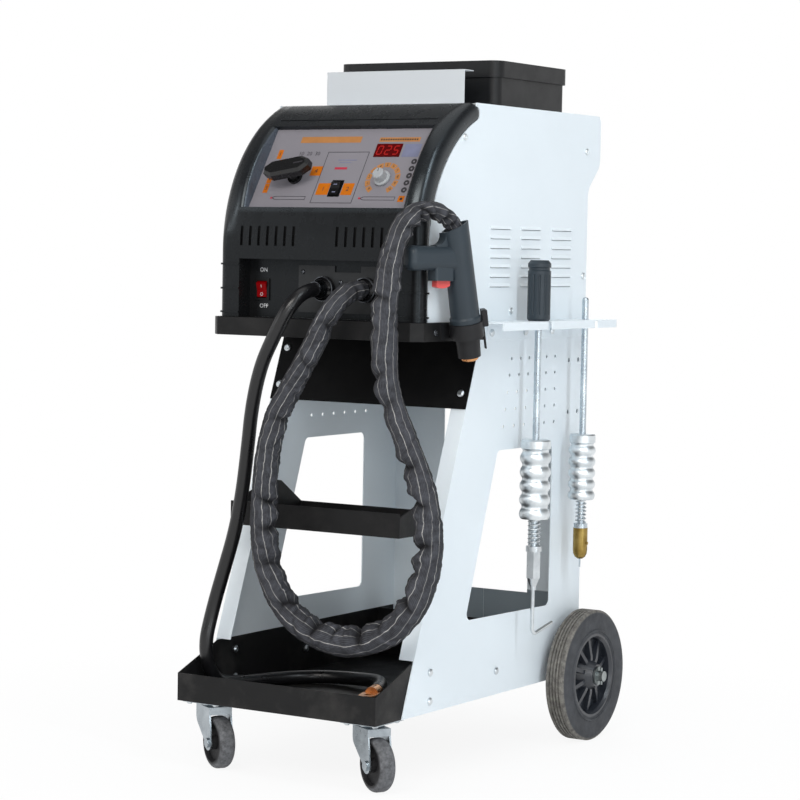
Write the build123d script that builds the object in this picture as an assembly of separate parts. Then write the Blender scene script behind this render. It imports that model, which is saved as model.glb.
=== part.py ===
from build123d import *
import os
from math import atan2, cos, degrees, pi, radians, sin, sqrt, tan

# Sizes in millimetres. Front faces minus Y, up is plus Z, the floor is z 0.

# Side panels of cabinet and trolley
cabinet_half = 170.0
sheet = 1.5
seam = 0.3
side_bottom = 97.0
side_top = 957.0
side_front = -259.0
side_rear = 254.0
side_top_rear = 292.0
neck_low = 843.0
neck_high = 881.0
side_slant = 20.38
front_flange = 24.8
rear_flange = 90.0
rear_strip = side_bottom + 116.0
rear_tongue = 105.0
flange_start = 175.0
deck_z = 646.0
side_notch = deck_z + 0.4
flange_end = deck_z - 6.0
axle_lobe = 20.0
window_corners = [(-92, 216), (157, 212), (157, 457), (-7.5, 457)]
window_round = 10.0
louvre_columns = [(-41, 16), (49, 106), (141.5, 202)]
louvre_rows = 7
louvre_top = deck_z + 134.0
louvre_pitch = 13.9
louvre_gap = 1.8
louvre_hood = 2.0
louvre_slope = 3.0
louvre_lip = 0.8
peg_rows = [590, 566, 541, 516, 491]
peg_columns = 6
peg_radius = 2.6
peg_last = 160.5
peg_shift = 5.2
peg_first = 28.0
keyholes = [(204.5, 583), (234.5, 583), (204.5, 504), (234.5, 504)]
keyhole_radius = 3.6

# Front bezel: a bent band with round side arms
bezel_proud = 1.0
bezel_half = cabinet_half + bezel_proud
bezel_arc_y = -4.0
bezel_arc_z = deck_z + 97.0
bezel_radius = 216.0
bezel_thick = 15.0
bezel_end_angle = 67.0
bezel_bottom = deck_z + seam
arm_round = 13.0
window_round_in = 8.0
recess_half = bezel_half - 36.0
recess_top = deck_z + 84.0
recess_wall = 3.0
vent_slots = 7
vent_groups = (-132.0, 32.0)
vent_pitch = 15.0
vent_width = 4.6
vent_low = recess_top + 19.0
vent_high = vent_low + 28.0
cheek_ridges = [deck_z + 7.0, deck_z + 41.0, deck_z + 76.0]
ridge_proud = 1.8
ridge_high = 2.6
groove_angle = 55.0
groove_deep = 1.6
groove_half = 1.1

# Control panel plate, measured up along its own face
panel_sunk = 2.0
panel_foot_y = bezel_arc_y - bezel_radius + panel_sunk
panel_foot_z = deck_z + 155.4
panel_lean = 32.32
panel_half = bezel_half - 38.0
panel_high = 138.5
panel_thick = 2.0
panel_ledge = 7.5
selector_at = (-70.0, 54.0)
selector_turned = 12.0
selector_length = 73.0
selector_width = 27.0
selector_height = 34.0
selector_neck = 17.0
level_at = (78.7, 52.5)
level_radius = 12.5
level_height = 17.0
display_at = (70.75, 101.2)
display_size = (43.5, 22.5)
mode_at = (5.5, 36.0)
mode_size = (20.0, 28.0)
rocker_tilt = 9.0
board_depth = 29.0

# Recess with power rocker and cable glands
power_edge = 23.0
power_at = (power_edge - recess_half, deck_z + 40.0)
power_size = (25.5, 31.0)
gland_x = (-3.0, 68.0)
gland_z = deck_z + 43.0
gland_radius = 16.5
gland_long = 12.0
gland_plate_x = (-48.0, 113.0)
gland_plate_z = (deck_z + 9.0, deck_z + 76.0)
mains_at = (-100.0, deck_z + 44.0)
mains_radius = 9.0

# Cabinet top
upstand_half = 119.5
upstand_y = -37.0
upstand_high = 52.0
upstand_top = side_top + upstand_high
upstand_bend = 25.0
tool_tray_half = 140.0
tool_tray_y = (24.0, 242.0)
tool_tray_high = 69.0
tool_tray_top = side_top + tool_tray_high
tool_tray_rim = 24.0
tool_tray_wall = 3.0

# Shelves and trays
shelf_half = cabinet_half + 8.0
shelf_front = -247.0
shelf_rear = -67.5
shelf_low = deck_z - 26.0
shelf_wall = 2.5
shelf_corner = 14.0
apron_high = shelf_low - 1.2
apron_low = apron_high - 97.8
apron_thick = 2.0
middle_half = cabinet_half - front_flange - 0.4
middle_front = -234.0
middle_rear = -54.0
middle_floor = 345.0
middle_lip = 34.5
middle_back = 21.0
middle_wall = 60.0
tray_front = -325.0
tray_rear = 204.0
tray_half = cabinet_half - sheet - seam
tray_lip = side_bottom + 40.0
tray_wall = side_bottom + 76.0
tray_side_rear = 250.0
tray_bolts = [(-186.6, 154), (-186.7, 113), (-0.7, 132)]

# Tool bracket on the right side
bracket_outer = cabinet_half + 55.0
bracket_front = -120.0
bracket_rear = 253.0
bracket_lip = 12.0
bracket_bolts = [-35, 64, 145]
bracket_foot = deck_z - 28.0
hook_y = 43.0
stud_y = 188.0
tool_x = cabinet_half + 35.0
slot_play = 0.3

# Rear wheels and axle
axle_y = 225.0
axle_z = 100.0
axle_radius = 8.0
wheel_inner = cabinet_half + 12.5
wheel_width = 32.5
axle_end = wheel_inner + wheel_width + 17.0
rim_radius = 64.0
hub_recess = 57.0
hub_boss = 28.0
hub_nose = 17.0
web_deep = 16.0
web_thick = 8.0
hub_spokes = 10
spoke_half = 3.2
tread_grooves = 4
tyre_edge = 3.5
bead_proud = 1.6
running = 0.05

# Front casters
caster_inset = 35.0
caster_x = cabinet_half - caster_inset
caster_y = -281.0
caster_turn = -31.0
caster_trail = 20.0
caster_radius = 37.5
caster_width = 24.0
plate_thick = 2.5
plate_bolt_x = 23.0
plate_bolt_y = 28.0
crown_half = 24.0
crown_low = 83.6
crown_high = 87.9
fork_sheet = 2.5
king_pin = 5.0
caster_axle = 4.0

# Gun and its holder
gun_x = shelf_half + 26.0
gun_y = -161.0
gun_z = deck_z - 11.0
gun_lean = 14.5
barrel_foot_radius = 22.0
barrel_low_radius = 20.5
barrel_top_radius = 19.0
barrel_top = 150.0
mouth_heading = 36.0
mouth_lean = 28.0
mouth_radius = 16.6
mouth_deep = 16.0
ring_inner = 18.0
ring_outer = 24.0
ring_low = -9.0
ring_high = 13.1
clip_turn = 45.0
nozzle_low = -37.0
tip_low = -42.0
grip_z = gun_z + 101.0
grip_heading = 24.8
grip_long = 86.0
grip_width = 28.0
grip_high = 34.0
web_half = 8.0
trigger_long = 22.0
trigger_low = 24.5
trigger_high = 17.5
house_low = 14.0
house_half = 11.5
trigger_wide = 12.0
trigger_play = 0.3

# Slide hammers
rod_radius = 5.0
handle_radius = 17.0
handle_high = deck_z + 89.0
handle_flutes = 12
hook_weight_low = 355.3
hook_weight_high = 472.0
hook_weight_radius = 22.8
hook_chuck_low = 250.0
hook_chuck_high = 315.0
stud_weight_low = 373.3
stud_weight_high = 473.0
stud_weight_radius = 20.5
weight_ribs = 5
weight_cap = 14.0
stud_collar_low = 330.0
stud_collar_high = 337.0
stud_collet_low = 283.0
stud_top = deck_z + 34.0
hook_spring_radius = 8.4
stud_spring_radius = 7.2
spring_wire = 1.15
spring_turns = 6

# Cords: corner points of their runs
sleeve_radius = 19.5
cable_radius = 10.0
lug_barrel = 26.0
lug_palm_half = 12.0
lug_palm_thick = 3.5
lug_hole_at = 45.0
lug_hole_radius = 5.2
lug_long = 58.0


def block(x0, x1, y0, y1, z0, z1):
    middle = Pos((x0 + x1) / 2, (y0 + y1) / 2, (z0 + z1) / 2)
    return middle * Box(x1 - x0, y1 - y0, z1 - z0)


def patch(y0, y1, z0, z1):
    return Pos((y0 + y1) / 2, (z0 + z1) / 2) * Rectangle(y1 - y0, z1 - z0)


def shape(*points):
    return Polygon(*points, align=None)


def across(profile, x0, x1):
    return extrude(Plane.YZ.offset(x0) * profile, x1 - x0)


def turned(points, place):
    return place * revolve(Plane.XZ * shape(*points), Axis.Z)


def turned_edges(edges, place):
    return place * revolve(Plane.XZ * make_face(edges), Axis.Z)


def both_sides(piece):
    return piece + mirror(piece, Plane.YZ)


def corner(profile, y, z):
    return profile.vertices().sort_by_distance((y, z, 0))[0]


def front_edge(z):
    return side_front + (z - side_bottom) * tan(radians(side_slant))


def slanted_strip(low, high, front, back):
    steep = cos(radians(side_slant))
    return shape(
        (front_edge(low) + front / steep, low),
        (front_edge(low) + back / steep, low),
        (front_edge(high) + back / steep, high),
        (front_edge(high) + front / steep, high),
    )


# Bezel outline, seen from the side
def bezel_end():
    angle = radians(bezel_end_angle)
    return (bezel_arc_y - bezel_radius * cos(angle), bezel_arc_z + bezel_radius * sin(angle))


def bezel_wedge():
    far = 2 * bezel_radius
    angle = radians(bezel_end_angle)
    return shape(
        (bezel_arc_y, bezel_arc_z),
        (bezel_arc_y - far * cos(angle), bezel_arc_z + far * sin(angle)),
        (bezel_arc_y - far, bezel_arc_z + far),
        (bezel_arc_y - far, bezel_arc_z),
    )


def bezel_circle(radius):
    return Pos(bezel_arc_y, bezel_arc_z) * Circle(radius)


def bezel_band():
    ring = bezel_circle(bezel_radius + bezel_thick) - bezel_circle(bezel_radius - bezel_thick)
    middle = bezel_arc_y - bezel_radius
    foot = patch(middle - bezel_thick, middle + bezel_thick, bezel_bottom, bezel_arc_z)
    end = Pos(*bezel_end()) * Circle(bezel_thick)
    return (ring & bezel_wedge()) + foot + end


def bezel_keep_out():
    sheet_inner = cabinet_half - sheet
    drop = arm_round - (bezel_half - sheet_inner)
    tuck = arm_round - sqrt(arm_round**2 - drop**2) - 0.4
    reach = bezel_thick - tuck
    middle = bezel_arc_y - bezel_radius
    end_y, end_z = bezel_end()
    area = bezel_wedge() - bezel_circle(bezel_radius - reach)
    area += Pos(end_y, end_z) * Circle(reach)
    area += patch(middle - 300, middle + reach, side_notch - 60, bezel_arc_z + 1)
    area += patch(end_y - 300, end_y, end_z, side_top + 20)
    return area


# Side panels
def side_profile():
    outline = shape(
        (front_edge(side_bottom), side_bottom),
        (side_rear, side_bottom),
        (side_rear, neck_low),
        (side_top_rear, neck_high),
        (side_top_rear, side_top),
        (bezel_arc_y - bezel_radius - 60, side_top),
        (bezel_arc_y - bezel_radius - 60, side_notch),
        (front_edge(side_notch), side_notch),
    )
    outline = fillet(corner(outline, side_top_rear, side_top), 12)
    outline = fillet(corner(outline, side_top_rear, neck_high), 28)
    outline = fillet(corner(outline, side_rear, neck_low), 28)
    outline -= bezel_keep_out() - patch(-600, 300, 0, side_notch)
    outline += Pos(axle_y, axle_z) * Circle(axle_lobe)
    outline -= Pos(axle_y, axle_z) * Circle(axle_radius + 0.03)
    window = shape(*window_corners)
    outline -= fillet(window.vertices(), window_round)
    for low_y, high_y in louvre_columns:
        for row in range(louvre_rows):
            z = louvre_top - row * louvre_pitch
            outline -= patch(low_y, high_y, z - louvre_gap / 2, z + louvre_gap / 2)
    for row, z in enumerate(peg_rows):
        first = peg_first - row * peg_shift
        for column in range(peg_columns):
            y = first + (peg_last - first) * column / (peg_columns - 1)
            outline -= Pos(y, z) * Circle(peg_radius)
    for y, z in keyholes:
        outline -= Pos(y, z) * Circle(keyhole_radius)
    return outline


def along_y(profile, y0, y1):
    return extrude(Plane.XZ.offset(-y0) * profile, y0 - y1)


# Pressed louvres: a hood that opens downwards over each slot
def add_louvres(panel):
    inner = cabinet_half - sheet
    hoods = []
    throats = []
    for low_y, high_y in louvre_columns:
        for row in range(louvre_rows):
            low = louvre_top - row * louvre_pitch - louvre_gap / 2
            high = low + louvre_gap + louvre_slope
            hood = shape((cabinet_half, low), (cabinet_half + louvre_hood, low), (cabinet_half, high))
            hoods.append(along_y(hood, low_y - louvre_lip, high_y + louvre_lip))
            outer = cabinet_half + louvre_lip
            throat = block(inner, outer, low_y, high_y, low - louvre_lip, low + louvre_gap)
            throats.append(throat)
    return panel + hoods - throats


def side_panel():
    inner = cabinet_half - sheet
    panel = add_louvres(across(side_profile(), inner, cabinet_half))
    flange = slanted_strip(flange_start, flange_end, 0, sheet)
    panel += across(flange, cabinet_half - front_flange, inner)
    behind = side_rear - sheet
    panel += block(inner - rear_flange, inner, behind, side_rear, side_bottom + 3, flange_end)
    panel += block(seam / 2, inner, behind, side_rear, side_bottom + 3, rear_strip)
    return panel


def rear_cover():
    half = cabinet_half - sheet - seam
    top = side_top - sheet - seam
    profile = shape(
        (side_rear - sheet, deck_z + 2.3),
        (side_rear, deck_z + 2.3),
        (side_rear, neck_low),
        (side_top_rear, neck_high),
        (side_top_rear, top),
        (side_top_rear - sheet, top),
        (side_top_rear - sheet, neck_high + 0.6),
        (side_rear - sheet, neck_low + 0.6),
    )
    cover = across(profile, -half, half)
    wing = block(half - sheet, half, side_rear - 18, side_rear - sheet, deck_z + 17, neck_low)
    cover += both_sides(wing)
    tongue = half - rear_flange
    cover += block(-tongue, tongue, side_rear - sheet, side_rear, deck_z - rear_tongue, deck_z + 3)
    cover -= Pos(mains_at[0], side_rear, mains_at[1]) * Rot(90, 0, 0) * Cylinder(mains_radius, 20)
    return cover


def mains_inlet():
    place = Pos(mains_at[0], side_rear, mains_at[1]) * Rot(-90, 0, 0)
    stem = mains_radius - 0.1
    nut = mains_radius + 5
    cap = mains_radius + 2
    points = [(0, -14), (stem, -14), (stem, 0), (nut, 0), (nut, 4)]
    points += [(cap, 4), (cap, 15), (cap - 3, 18), (0, 18)]
    return turned(points, place)


def top_cover():
    half = cabinet_half - sheet - seam
    front = bezel_end()[0] + bezel_thick + 0.9
    cover = block(-half, half, front, side_top_rear, side_top - sheet, side_top)
    cover += block(-upstand_half, upstand_half, upstand_y - sheet, upstand_y, side_top - sheet, upstand_top)
    back = upstand_y + upstand_bend
    cover += block(-upstand_half, upstand_half, upstand_y - sheet, back, upstand_top - sheet, upstand_top)
    return cover


def top_tool_tray():
    middle = (tool_tray_y[0] + tool_tray_y[1]) / 2
    deep = tool_tray_y[1] - tool_tray_y[0]
    wide = 2 * tool_tray_half
    inset = 2 * tool_tray_wall
    high = tool_tray_top - side_top
    body = extrude(RectangleRounded(wide - 8, deep - 8, 14), high)
    rim = extrude(Pos(0, 0, high - tool_tray_rim) * RectangleRounded(wide, deep, 18), tool_tray_rim)
    hollow_face = RectangleRounded(wide - 8 - inset, deep - 8 - inset, 11)
    hollow = extrude(Pos(0, 0, tool_tray_wall) * hollow_face, high)
    return Pos(0, middle, side_top) * (body + rim - hollow)


def deck_plate():
    half = cabinet_half - sheet - seam
    rear = side_rear - sheet - seam
    front = bezel_arc_y - bezel_radius + bezel_thick + 1.5
    deck = block(-half, half, front, rear, deck_z, deck_z + 2)
    wing = block(half - sheet, half, -50, rear - 20, deck_z, deck_z + 16)
    return deck + both_sides(wing)


# Control panel frame: x across, y up along the face, z outwards
def panel_plane():
    lean = radians(panel_lean)
    outward = (0, -cos(lean), sin(lean))
    return Plane(origin=(0, panel_foot_y, panel_foot_z), x_dir=(1, 0, 0), z_dir=outward)


def on_panel(x, up, out=0):
    return panel_plane().location * Pos(x, up, out)


def recess_back():
    return bezel_arc_y - bezel_radius + bezel_thick - recess_wall


def power_place():
    plane = Plane(origin=(power_at[0], recess_back(), power_at[1]), x_dir=(1, 0, 0), z_dir=(0, -1, 0))
    return plane.location


def arm_ridge(z):
    front = bezel_arc_y - bezel_radius - bezel_thick - ridge_proud
    back = bezel_arc_y - bezel_radius + bezel_thick - arm_round / 2
    outer = bezel_half + ridge_proud
    plan = Pos((recess_half + outer) / 2, (front + back) / 2) * Rectangle(outer - recess_half, back - front)
    plan = fillet(plan.vertices().sort_by_distance((outer, front, 0))[0], arm_round)
    return extrude(Pos(0, 0, z - ridge_high / 2) * plan, ridge_high)


def window_edges(body):
    edges = []
    for edge in body.edges():
        centre = edge.center()
        away = sqrt((centre.Y - bezel_arc_y) ** 2 + (centre.Z - bezel_arc_z) ** 2)
        beside = panel_half < abs(centre.X) < panel_half + arm_round
        if beside and abs(away - bezel_radius - bezel_thick) < 1:
            edges.append(edge)
    return edges


def front_bezel():
    body = across(bezel_band(), -bezel_half, bezel_half)
    rims = []
    for edge in body.edges():
        centre = edge.center()
        if abs(abs(centre.X) - bezel_half) < 0.01 and centre.Z > bezel_bottom + 1:
            rims.append(edge)
    body = fillet(rims, arm_round)
    front = bezel_arc_y - bezel_radius - bezel_thick
    rear = bezel_arc_y - bezel_radius + bezel_thick
    place = panel_plane().location * Pos(0, panel_high / 2, 0)
    body -= extrude(place * Rectangle(2 * panel_half, panel_high), 32, taper=-14)
    body = fillet(window_edges(body), window_round_in)
    ledge_face = Rectangle(2 * (panel_half + panel_ledge), panel_high + 2 * panel_ledge)
    body -= extrude(place * ledge_face, -60)
    outer = -bezel_radius - bezel_thick
    inside = panel_half + 2
    groove = block(-inside, inside, outer - 2, outer + groove_deep, -groove_half, groove_half)
    body -= Pos(0, bezel_arc_y, bezel_arc_z) * Rot(-groove_angle, 0, 0) * groove
    for z in cheek_ridges:
        body += both_sides(arm_ridge(z))
    body -= block(-recess_half, recess_half, front - 5, rear - recess_wall, bezel_bottom - 5, recess_top)
    body -= block(-recess_half - 1, recess_half + 1, front + 4, rear + 5, recess_top + 4, vent_high + 8)
    half = vent_width / 2
    for start in vent_groups:
        for slot in range(vent_slots):
            x = start + slot * vent_pitch
            body -= block(x - half, x + half, front - 5, front + 6, vent_low, vent_high)
    cut = Box(power_size[0] - 3.4, power_size[1] - 3.4, 20)
    body -= power_place() * cut
    return body


def control_panel():
    half = panel_half + panel_ledge - seam
    plate = on_panel(0, panel_high / 2, -panel_thick / 2 - 0.1) * Box(
        2 * half, panel_high + 2 * (panel_ledge - seam), panel_thick
    )
    plate -= on_panel(*selector_at) * Cylinder(6, 20)
    plate -= on_panel(*level_at) * Cylinder(5, 20)
    plate -= on_panel(*display_at) * Box(display_size[0], display_size[1], 20)
    plate -= on_panel(*mode_at) * Box(mode_size[0], mode_size[1], 20)
    return plate


def display_window():
    lens = Box(display_size[0] - 0.4, display_size[1] - 0.4, panel_thick + 0.6)
    return on_panel(display_at[0], display_at[1], -panel_thick / 2 + 0.3) * lens


def selector_knob():
    low = (Align.CENTER, Align.CENTER, Align.MIN)
    end = selector_length / 2
    half = selector_width / 2
    corners = [(end, half * 0.4), (end - 13, half), (13 - end, half), (-end, half * 0.4)]
    corners += [(x, -y) for x, y in reversed(corners)]
    lever = extrude(Pos(0, 0, selector_neck) * shape(*corners), selector_height - selector_neck)
    lever = chamfer(lever.faces().sort_by(Axis.Z)[-1].edges(), 4)
    lever = chamfer(lever.faces().sort_by(Axis.Z)[0].edges(), 2)
    skirt = Pos(0, 0, 0.5) * Cylinder(11, 4, align=low)
    neck = Pos(0, 0, 0.5) * Cylinder(7.5, selector_neck + 1, align=low)
    shaft = Pos(0, 0, -13) * Cylinder(4, 16, align=low)
    return on_panel(*selector_at) * Rot(0, 0, selector_turned) * (lever + skirt + neck + shaft)


def selector_switch():
    low = Align.MIN
    body = Pos(0, 0, -25) * Cylinder(17, 22.6, align=(Align.CENTER, Align.CENTER, low))
    body -= Pos(0, 0, -14) * Cylinder(4 + running, 20, align=(Align.CENTER, Align.CENTER, low))
    return on_panel(*selector_at) * body


def level_knob():
    r = level_radius
    h = level_height
    points = [(0, -9), (3, -9), (3, 0.5), (r, 0.5), (r, 3), (r - 1.5, 4.5), (r - 3, 5), (r - 4, h - 1.5)]
    points += [(r - 5.5, h), (0, h)]
    knob = turned(points, Pos(0, 0, 0))
    knob -= block(-0.6, 0.6, 2, r, h - 1, h + 1)
    return on_panel(*level_at) * knob


def level_potentiometer():
    low = Align.MIN
    body = Pos(0, 0, -16) * Cylinder(12, 13.6, align=(Align.CENTER, Align.CENTER, low))
    body -= Pos(0, 0, -10) * Cylinder(3 + running, 20, align=(Align.CENTER, Align.CENTER, low))
    return on_panel(*level_at) * body


# A rocker is a slice of a disc on two pins, so it turns without touching its well
def rocker(wide, disc, depth, proud):
    body = Rot(0, 90, 0) * Cylinder(disc, wide)
    peak = depth + proud
    slope = tan(radians(rocker_tilt))
    rise = peak + disc * slope
    roof = shape((-disc, rise), (0, peak), (disc, rise), (disc, 60), (-disc, 60))
    body -= extrude(Plane.YZ.offset(-wide) * roof, 2 * wide)
    body -= block(-wide, wide, -40, 40, -40, -5)
    body += Rot(0, 90, 0) * Cylinder(1.5, wide + 2)
    return Pos(0, 0, -depth) * Rot(rocker_tilt, 0, 0) * body


def rocker_well(wide, long, high, depth, disc, inside):
    body = Pos(0, 0, high) * Box(wide, long, depth, align=(Align.CENTER, Align.CENTER, Align.MAX))
    well = Box(inside + 0.6, 2 * disc + 0.8, 60)
    body -= Pos(0, 0, 30 - 3.5 - disc) * well
    return body


def mode_disc():
    return mode_size[1] / 2 - 1.4


def mode_rocker():
    return on_panel(*mode_at) * rocker(mode_size[0] - 5, mode_disc(), 5, 2.2)


def mode_switch_body():
    disc = mode_disc()
    wide = mode_size[0] - 0.4
    long = mode_size[1] - 0.4
    body = rocker_well(wide, long, 0.6, 22, disc, mode_size[0] - 5)
    body -= Pos(0, 0, -5) * Rot(0, 90, 0) * Cylinder(1.5 + running, mode_size[0] - 2.6)
    return on_panel(*mode_at) * body


def power_disc():
    return power_size[1] / 2 - 3.4


def power_rocker():
    return power_place() * rocker(power_size[0] - 9, power_disc(), 3, 2.4)


def power_switch_body():
    disc = power_disc()
    wide = power_size[0] - 3.8
    long = power_size[1] - 3.8
    body = Pos(0, 0, 2) * Box(*power_size, 2, align=(Align.CENTER, Align.CENTER, Align.MAX))
    body += Pos(0, 0, 1) * Box(wide, long, 22, align=(Align.CENTER, Align.CENTER, Align.MAX))
    body -= Pos(0, 0, 30 - 3.5 - disc) * Box(power_size[0] - 8.4, 2 * disc + 0.8, 60)
    body -= Pos(0, 0, -3) * Rot(0, 90, 0) * Cylinder(1.5 + running, power_size[0] - 6.6)
    return power_place() * body


def control_board():
    wide = 2 * panel_half - 60
    high = panel_high - 18
    board = Pos(0, 0, -board_depth - 0.8) * Box(wide, high, 1.6)
    post_long = board_depth - panel_thick - 0.1
    for x in (-wide / 2 + 8, wide / 2 - 8):
        for y in (-high / 2 + 8, high / 2 - 8):
            board += Pos(x, y, -board_depth + post_long / 2) * Cylinder(3, post_long)
    board += Pos(20, 8, -board_depth + 6) * Box(40, 30, 12)
    return panel_plane().location * Pos(0, panel_high / 2, 0) * board


def gland_plate():
    back = recess_back()
    plate = block(*gland_plate_x, back - 2, back, *gland_plate_z)
    notch = block(14, 58, back - 5, back + 5, gland_plate_z[1] - 9, gland_plate_z[1] + 5)
    return plate - notch


def cable_glands():
    r = gland_radius
    h = gland_long
    points = [(0, 0), (r + 1.5, 0), (r + 1.5, 3), (r, 3), (r, h - 3), (r - 3, h), (0, h)]
    glands = []
    for x in gland_x:
        place = Pos(x, recess_back() - 2, gland_z) * Rot(90, 0, 0)
        glands.append(turned(points, place))
    return glands[0] + glands[1]


def gland_front():
    return recess_back() - 2 - gland_long


# Shelves and trays
def shelf():
    plan = shape(
        (-shelf_half, shelf_rear),
        (-shelf_half, shelf_front + shelf_corner),
        (-shelf_half + shelf_corner, shelf_front),
        (shelf_half - shelf_corner, shelf_front),
        (shelf_half, shelf_front + shelf_corner),
        (shelf_half, shelf_rear),
    )
    body = extrude(Pos(0, 0, shelf_low) * plan, deck_z - shelf_low)
    hollow = offset(plan, -shelf_wall, kind=Kind.INTERSECTION)
    return body - extrude(Pos(0, 0, shelf_low - 1) * hollow, deck_z - shelf_low + 1 - shelf_wall)


def apron():
    return across(slanted_strip(apron_low, apron_high, -apron_thick, 0), -cabinet_half, cabinet_half)


def middle_shelf():
    t = sheet
    base = middle_floor
    floor = block(-middle_half, middle_half, middle_front, middle_rear, base, base + t)
    floor += block(-middle_half, middle_half, middle_front, middle_front + t, base, base + middle_lip)
    floor += block(-middle_half, middle_half, middle_rear - t, middle_rear, base, base + middle_back)
    wall = shape(
        (middle_front, base),
        (middle_rear, base),
        (middle_rear, base + middle_back),
        (middle_rear - 53, base + middle_wall - 5),
        (middle_front + 92, base + middle_wall),
        (middle_front, base + middle_lip - 5.5),
    )
    side = across(wall, middle_half - t, middle_half)
    tab = slanted_strip(base + 7, base + middle_wall - 7, t + 0.05, 2 * t + 0.05)
    side += across(tab, middle_half - t, middle_half + front_flange - 4)
    return floor + both_sides(side)


def base_tray():
    t = sheet
    floor = block(-tray_half, tray_half, tray_front, tray_rear, side_bottom, side_bottom + t)
    floor += block(-tray_half, tray_half, tray_front, tray_front + t, side_bottom, tray_lip)
    floor += block(-tray_half, tray_half, tray_rear - t, tray_rear, side_bottom, tray_wall)
    over_axle = axle_z + axle_radius + 10
    wall = shape(
        (tray_front, side_bottom),
        (tray_rear, side_bottom),
        (tray_rear, over_axle),
        (tray_side_rear, over_axle),
        (tray_side_rear, tray_wall),
        (front_edge(tray_wall), tray_wall),
        (tray_front, tray_lip),
    )
    return floor + both_sides(across(wall, tray_half - t, tray_half))


def tool_bracket():
    t = sheet
    plan = shape(
        (shelf_half + 0.6, bracket_front),
        (bracket_outer - 14, bracket_front),
        (bracket_outer, bracket_front + 26),
        (bracket_outer, bracket_rear),
        (cabinet_half, bracket_rear),
        (cabinet_half, shelf_rear + 1),
        (shelf_half + 0.6, shelf_rear + 1),
    )
    body = extrude(Pos(0, 0, deck_z - t) * plan, t)
    lip_low = deck_z - bracket_lip
    lip_front = bracket_front + 26
    body += block(bracket_outer - t, bracket_outer, lip_front, bracket_rear, lip_low, deck_z)
    foot_front = front_edge(deck_z) + 8
    body += block(cabinet_half, cabinet_half + t, foot_front, bracket_rear, bracket_foot, deck_z)
    for y, half in ((hook_y, rod_radius + slot_play), (stud_y, rod_radius - 1.5 + slot_play)):
        body -= block(tool_x, bracket_outer + 5, y - half, y + half, lip_low - 5, deck_z + 5)
        body -= Pos(tool_x, y, deck_z) * Cylinder(half, 20)
        wide = rod_radius + slot_play
        body -= block(tool_x, bracket_outer + 5, y - wide, y + wide, lip_low - 5, deck_z - t)
    return body


def bolt(radius):
    return turned([(0, 0), (radius, 0), (radius, 1.6), (radius * 0.6, 3.4), (0, 3.4)], Pos(0, 0, 0))


def caster_bolts():
    bolts = []
    for side in (-1, 1):
        for x in (-plate_bolt_x, plate_bolt_x):
            for y in (-plate_bolt_y, plate_bolt_y):
                place = Pos(side * caster_x + x, caster_y + y, side_bottom - plate_thick)
                bolts.append(place * Rot(180, 0, 0) * bolt(4.5))
    return bolts


def frame_bolts():
    bolts = caster_bolts()
    outwards = Rot(0, 90, 0)
    inwards = Rot(0, -90, 0)
    for y, z in tray_bolts:
        side = Pos(cabinet_half, y, z) * outwards * bolt(5.5)
        nut = Pos(tray_half - sheet, y, z) * inwards * bolt(5.5)
        bolts += [side, mirror(side, Plane.YZ), nut, mirror(nut, Plane.YZ)]
    for y in bracket_bolts:
        bolts.append(Pos(cabinet_half + sheet, y, deck_z - 17) * outwards * bolt(5.5))
    lean = radians(side_slant)
    apron_bolt_x = cabinet_half - front_flange / 2
    for x in (-apron_bolt_x, apron_bolt_x):
        for z in (apron_low + 22, apron_high - 22):
            y = front_edge(z) - apron_thick / cos(lean)
            plane = Plane(origin=(x, y, z), x_dir=(1, 0, 0), z_dir=(0, -cos(lean), sin(lean)))
            bolts.append(plane.location * bolt(5.5))
    return Compound(children=[Compound(item.solids()) for item in bolts])


# Inside the cabinet
core_half = 95.0
sink_half = 80.0
sink_high = 112.0
core_y = (0.0, 90.0)
leg_half = 32.0
deck_top = deck_z + 2
core_top = deck_top + 142.0
core_window = (deck_top + 32.0, deck_top + 108.0)


def transformer_core():
    core = block(-core_half, core_half, *core_y, deck_top, core_top)
    opening = block(leg_half, core_half - leg_half, core_y[0] - 5, core_y[1] + 5, *core_window)
    return core - both_sides(opening)


def transformer_windings():
    gap = 0.5
    middle = (core_y[0] + core_y[1]) / 2
    outer_x = core_half - leg_half - gap
    deep = core_y[1] - core_y[0] + 2 * (outer_x - leg_half)
    low = core_window[0] + gap
    high = core_window[1] - gap
    ring = RectangleRounded(2 * outer_x, deep, 20)
    ring -= RectangleRounded(2 * (leg_half + gap), core_y[1] - core_y[0] + 2 * gap, 1)
    return extrude(Pos(0, middle, low) * ring, high - low)


def winding_front():
    return core_y[0] - (core_half - 2 * leg_half - 0.5)


def thyristor_sink():
    back = core_y[1] + 60
    top = deck_top + sink_high
    sink = block(-sink_half, sink_half, back, back + 8, deck_top, top)
    for fin in range(8):
        x = -sink_half + fin * (2 * sink_half - 4) / 7
        sink += block(x, x + 4, back, back + 40, deck_top, top)
    sink += Pos(0, back - 7, deck_top + 60) * Rot(90, 0, 0) * Cylinder(22, 14)
    return sink


def busbars():
    front = bezel_arc_y - bezel_radius + bezel_thick + 0.3
    back = winding_front() - 0.2
    low = gland_z - 12
    high = gland_z + 12
    first = block(gland_x[0] - 2, gland_x[0] + 2, front, back, low, high)
    turn = back - 26
    second = block(gland_x[1] - 2, gland_x[1] + 2, front, turn + 4, low, high)
    second += block(40, gland_x[1] + 2, turn, turn + 4, low, high)
    second += block(40, 44, turn, back, low, high)
    return first + second


# Rear wheels
def wheel_place():
    return Pos(0, axle_y, axle_z) * Rot(0, 90, 0)


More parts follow.
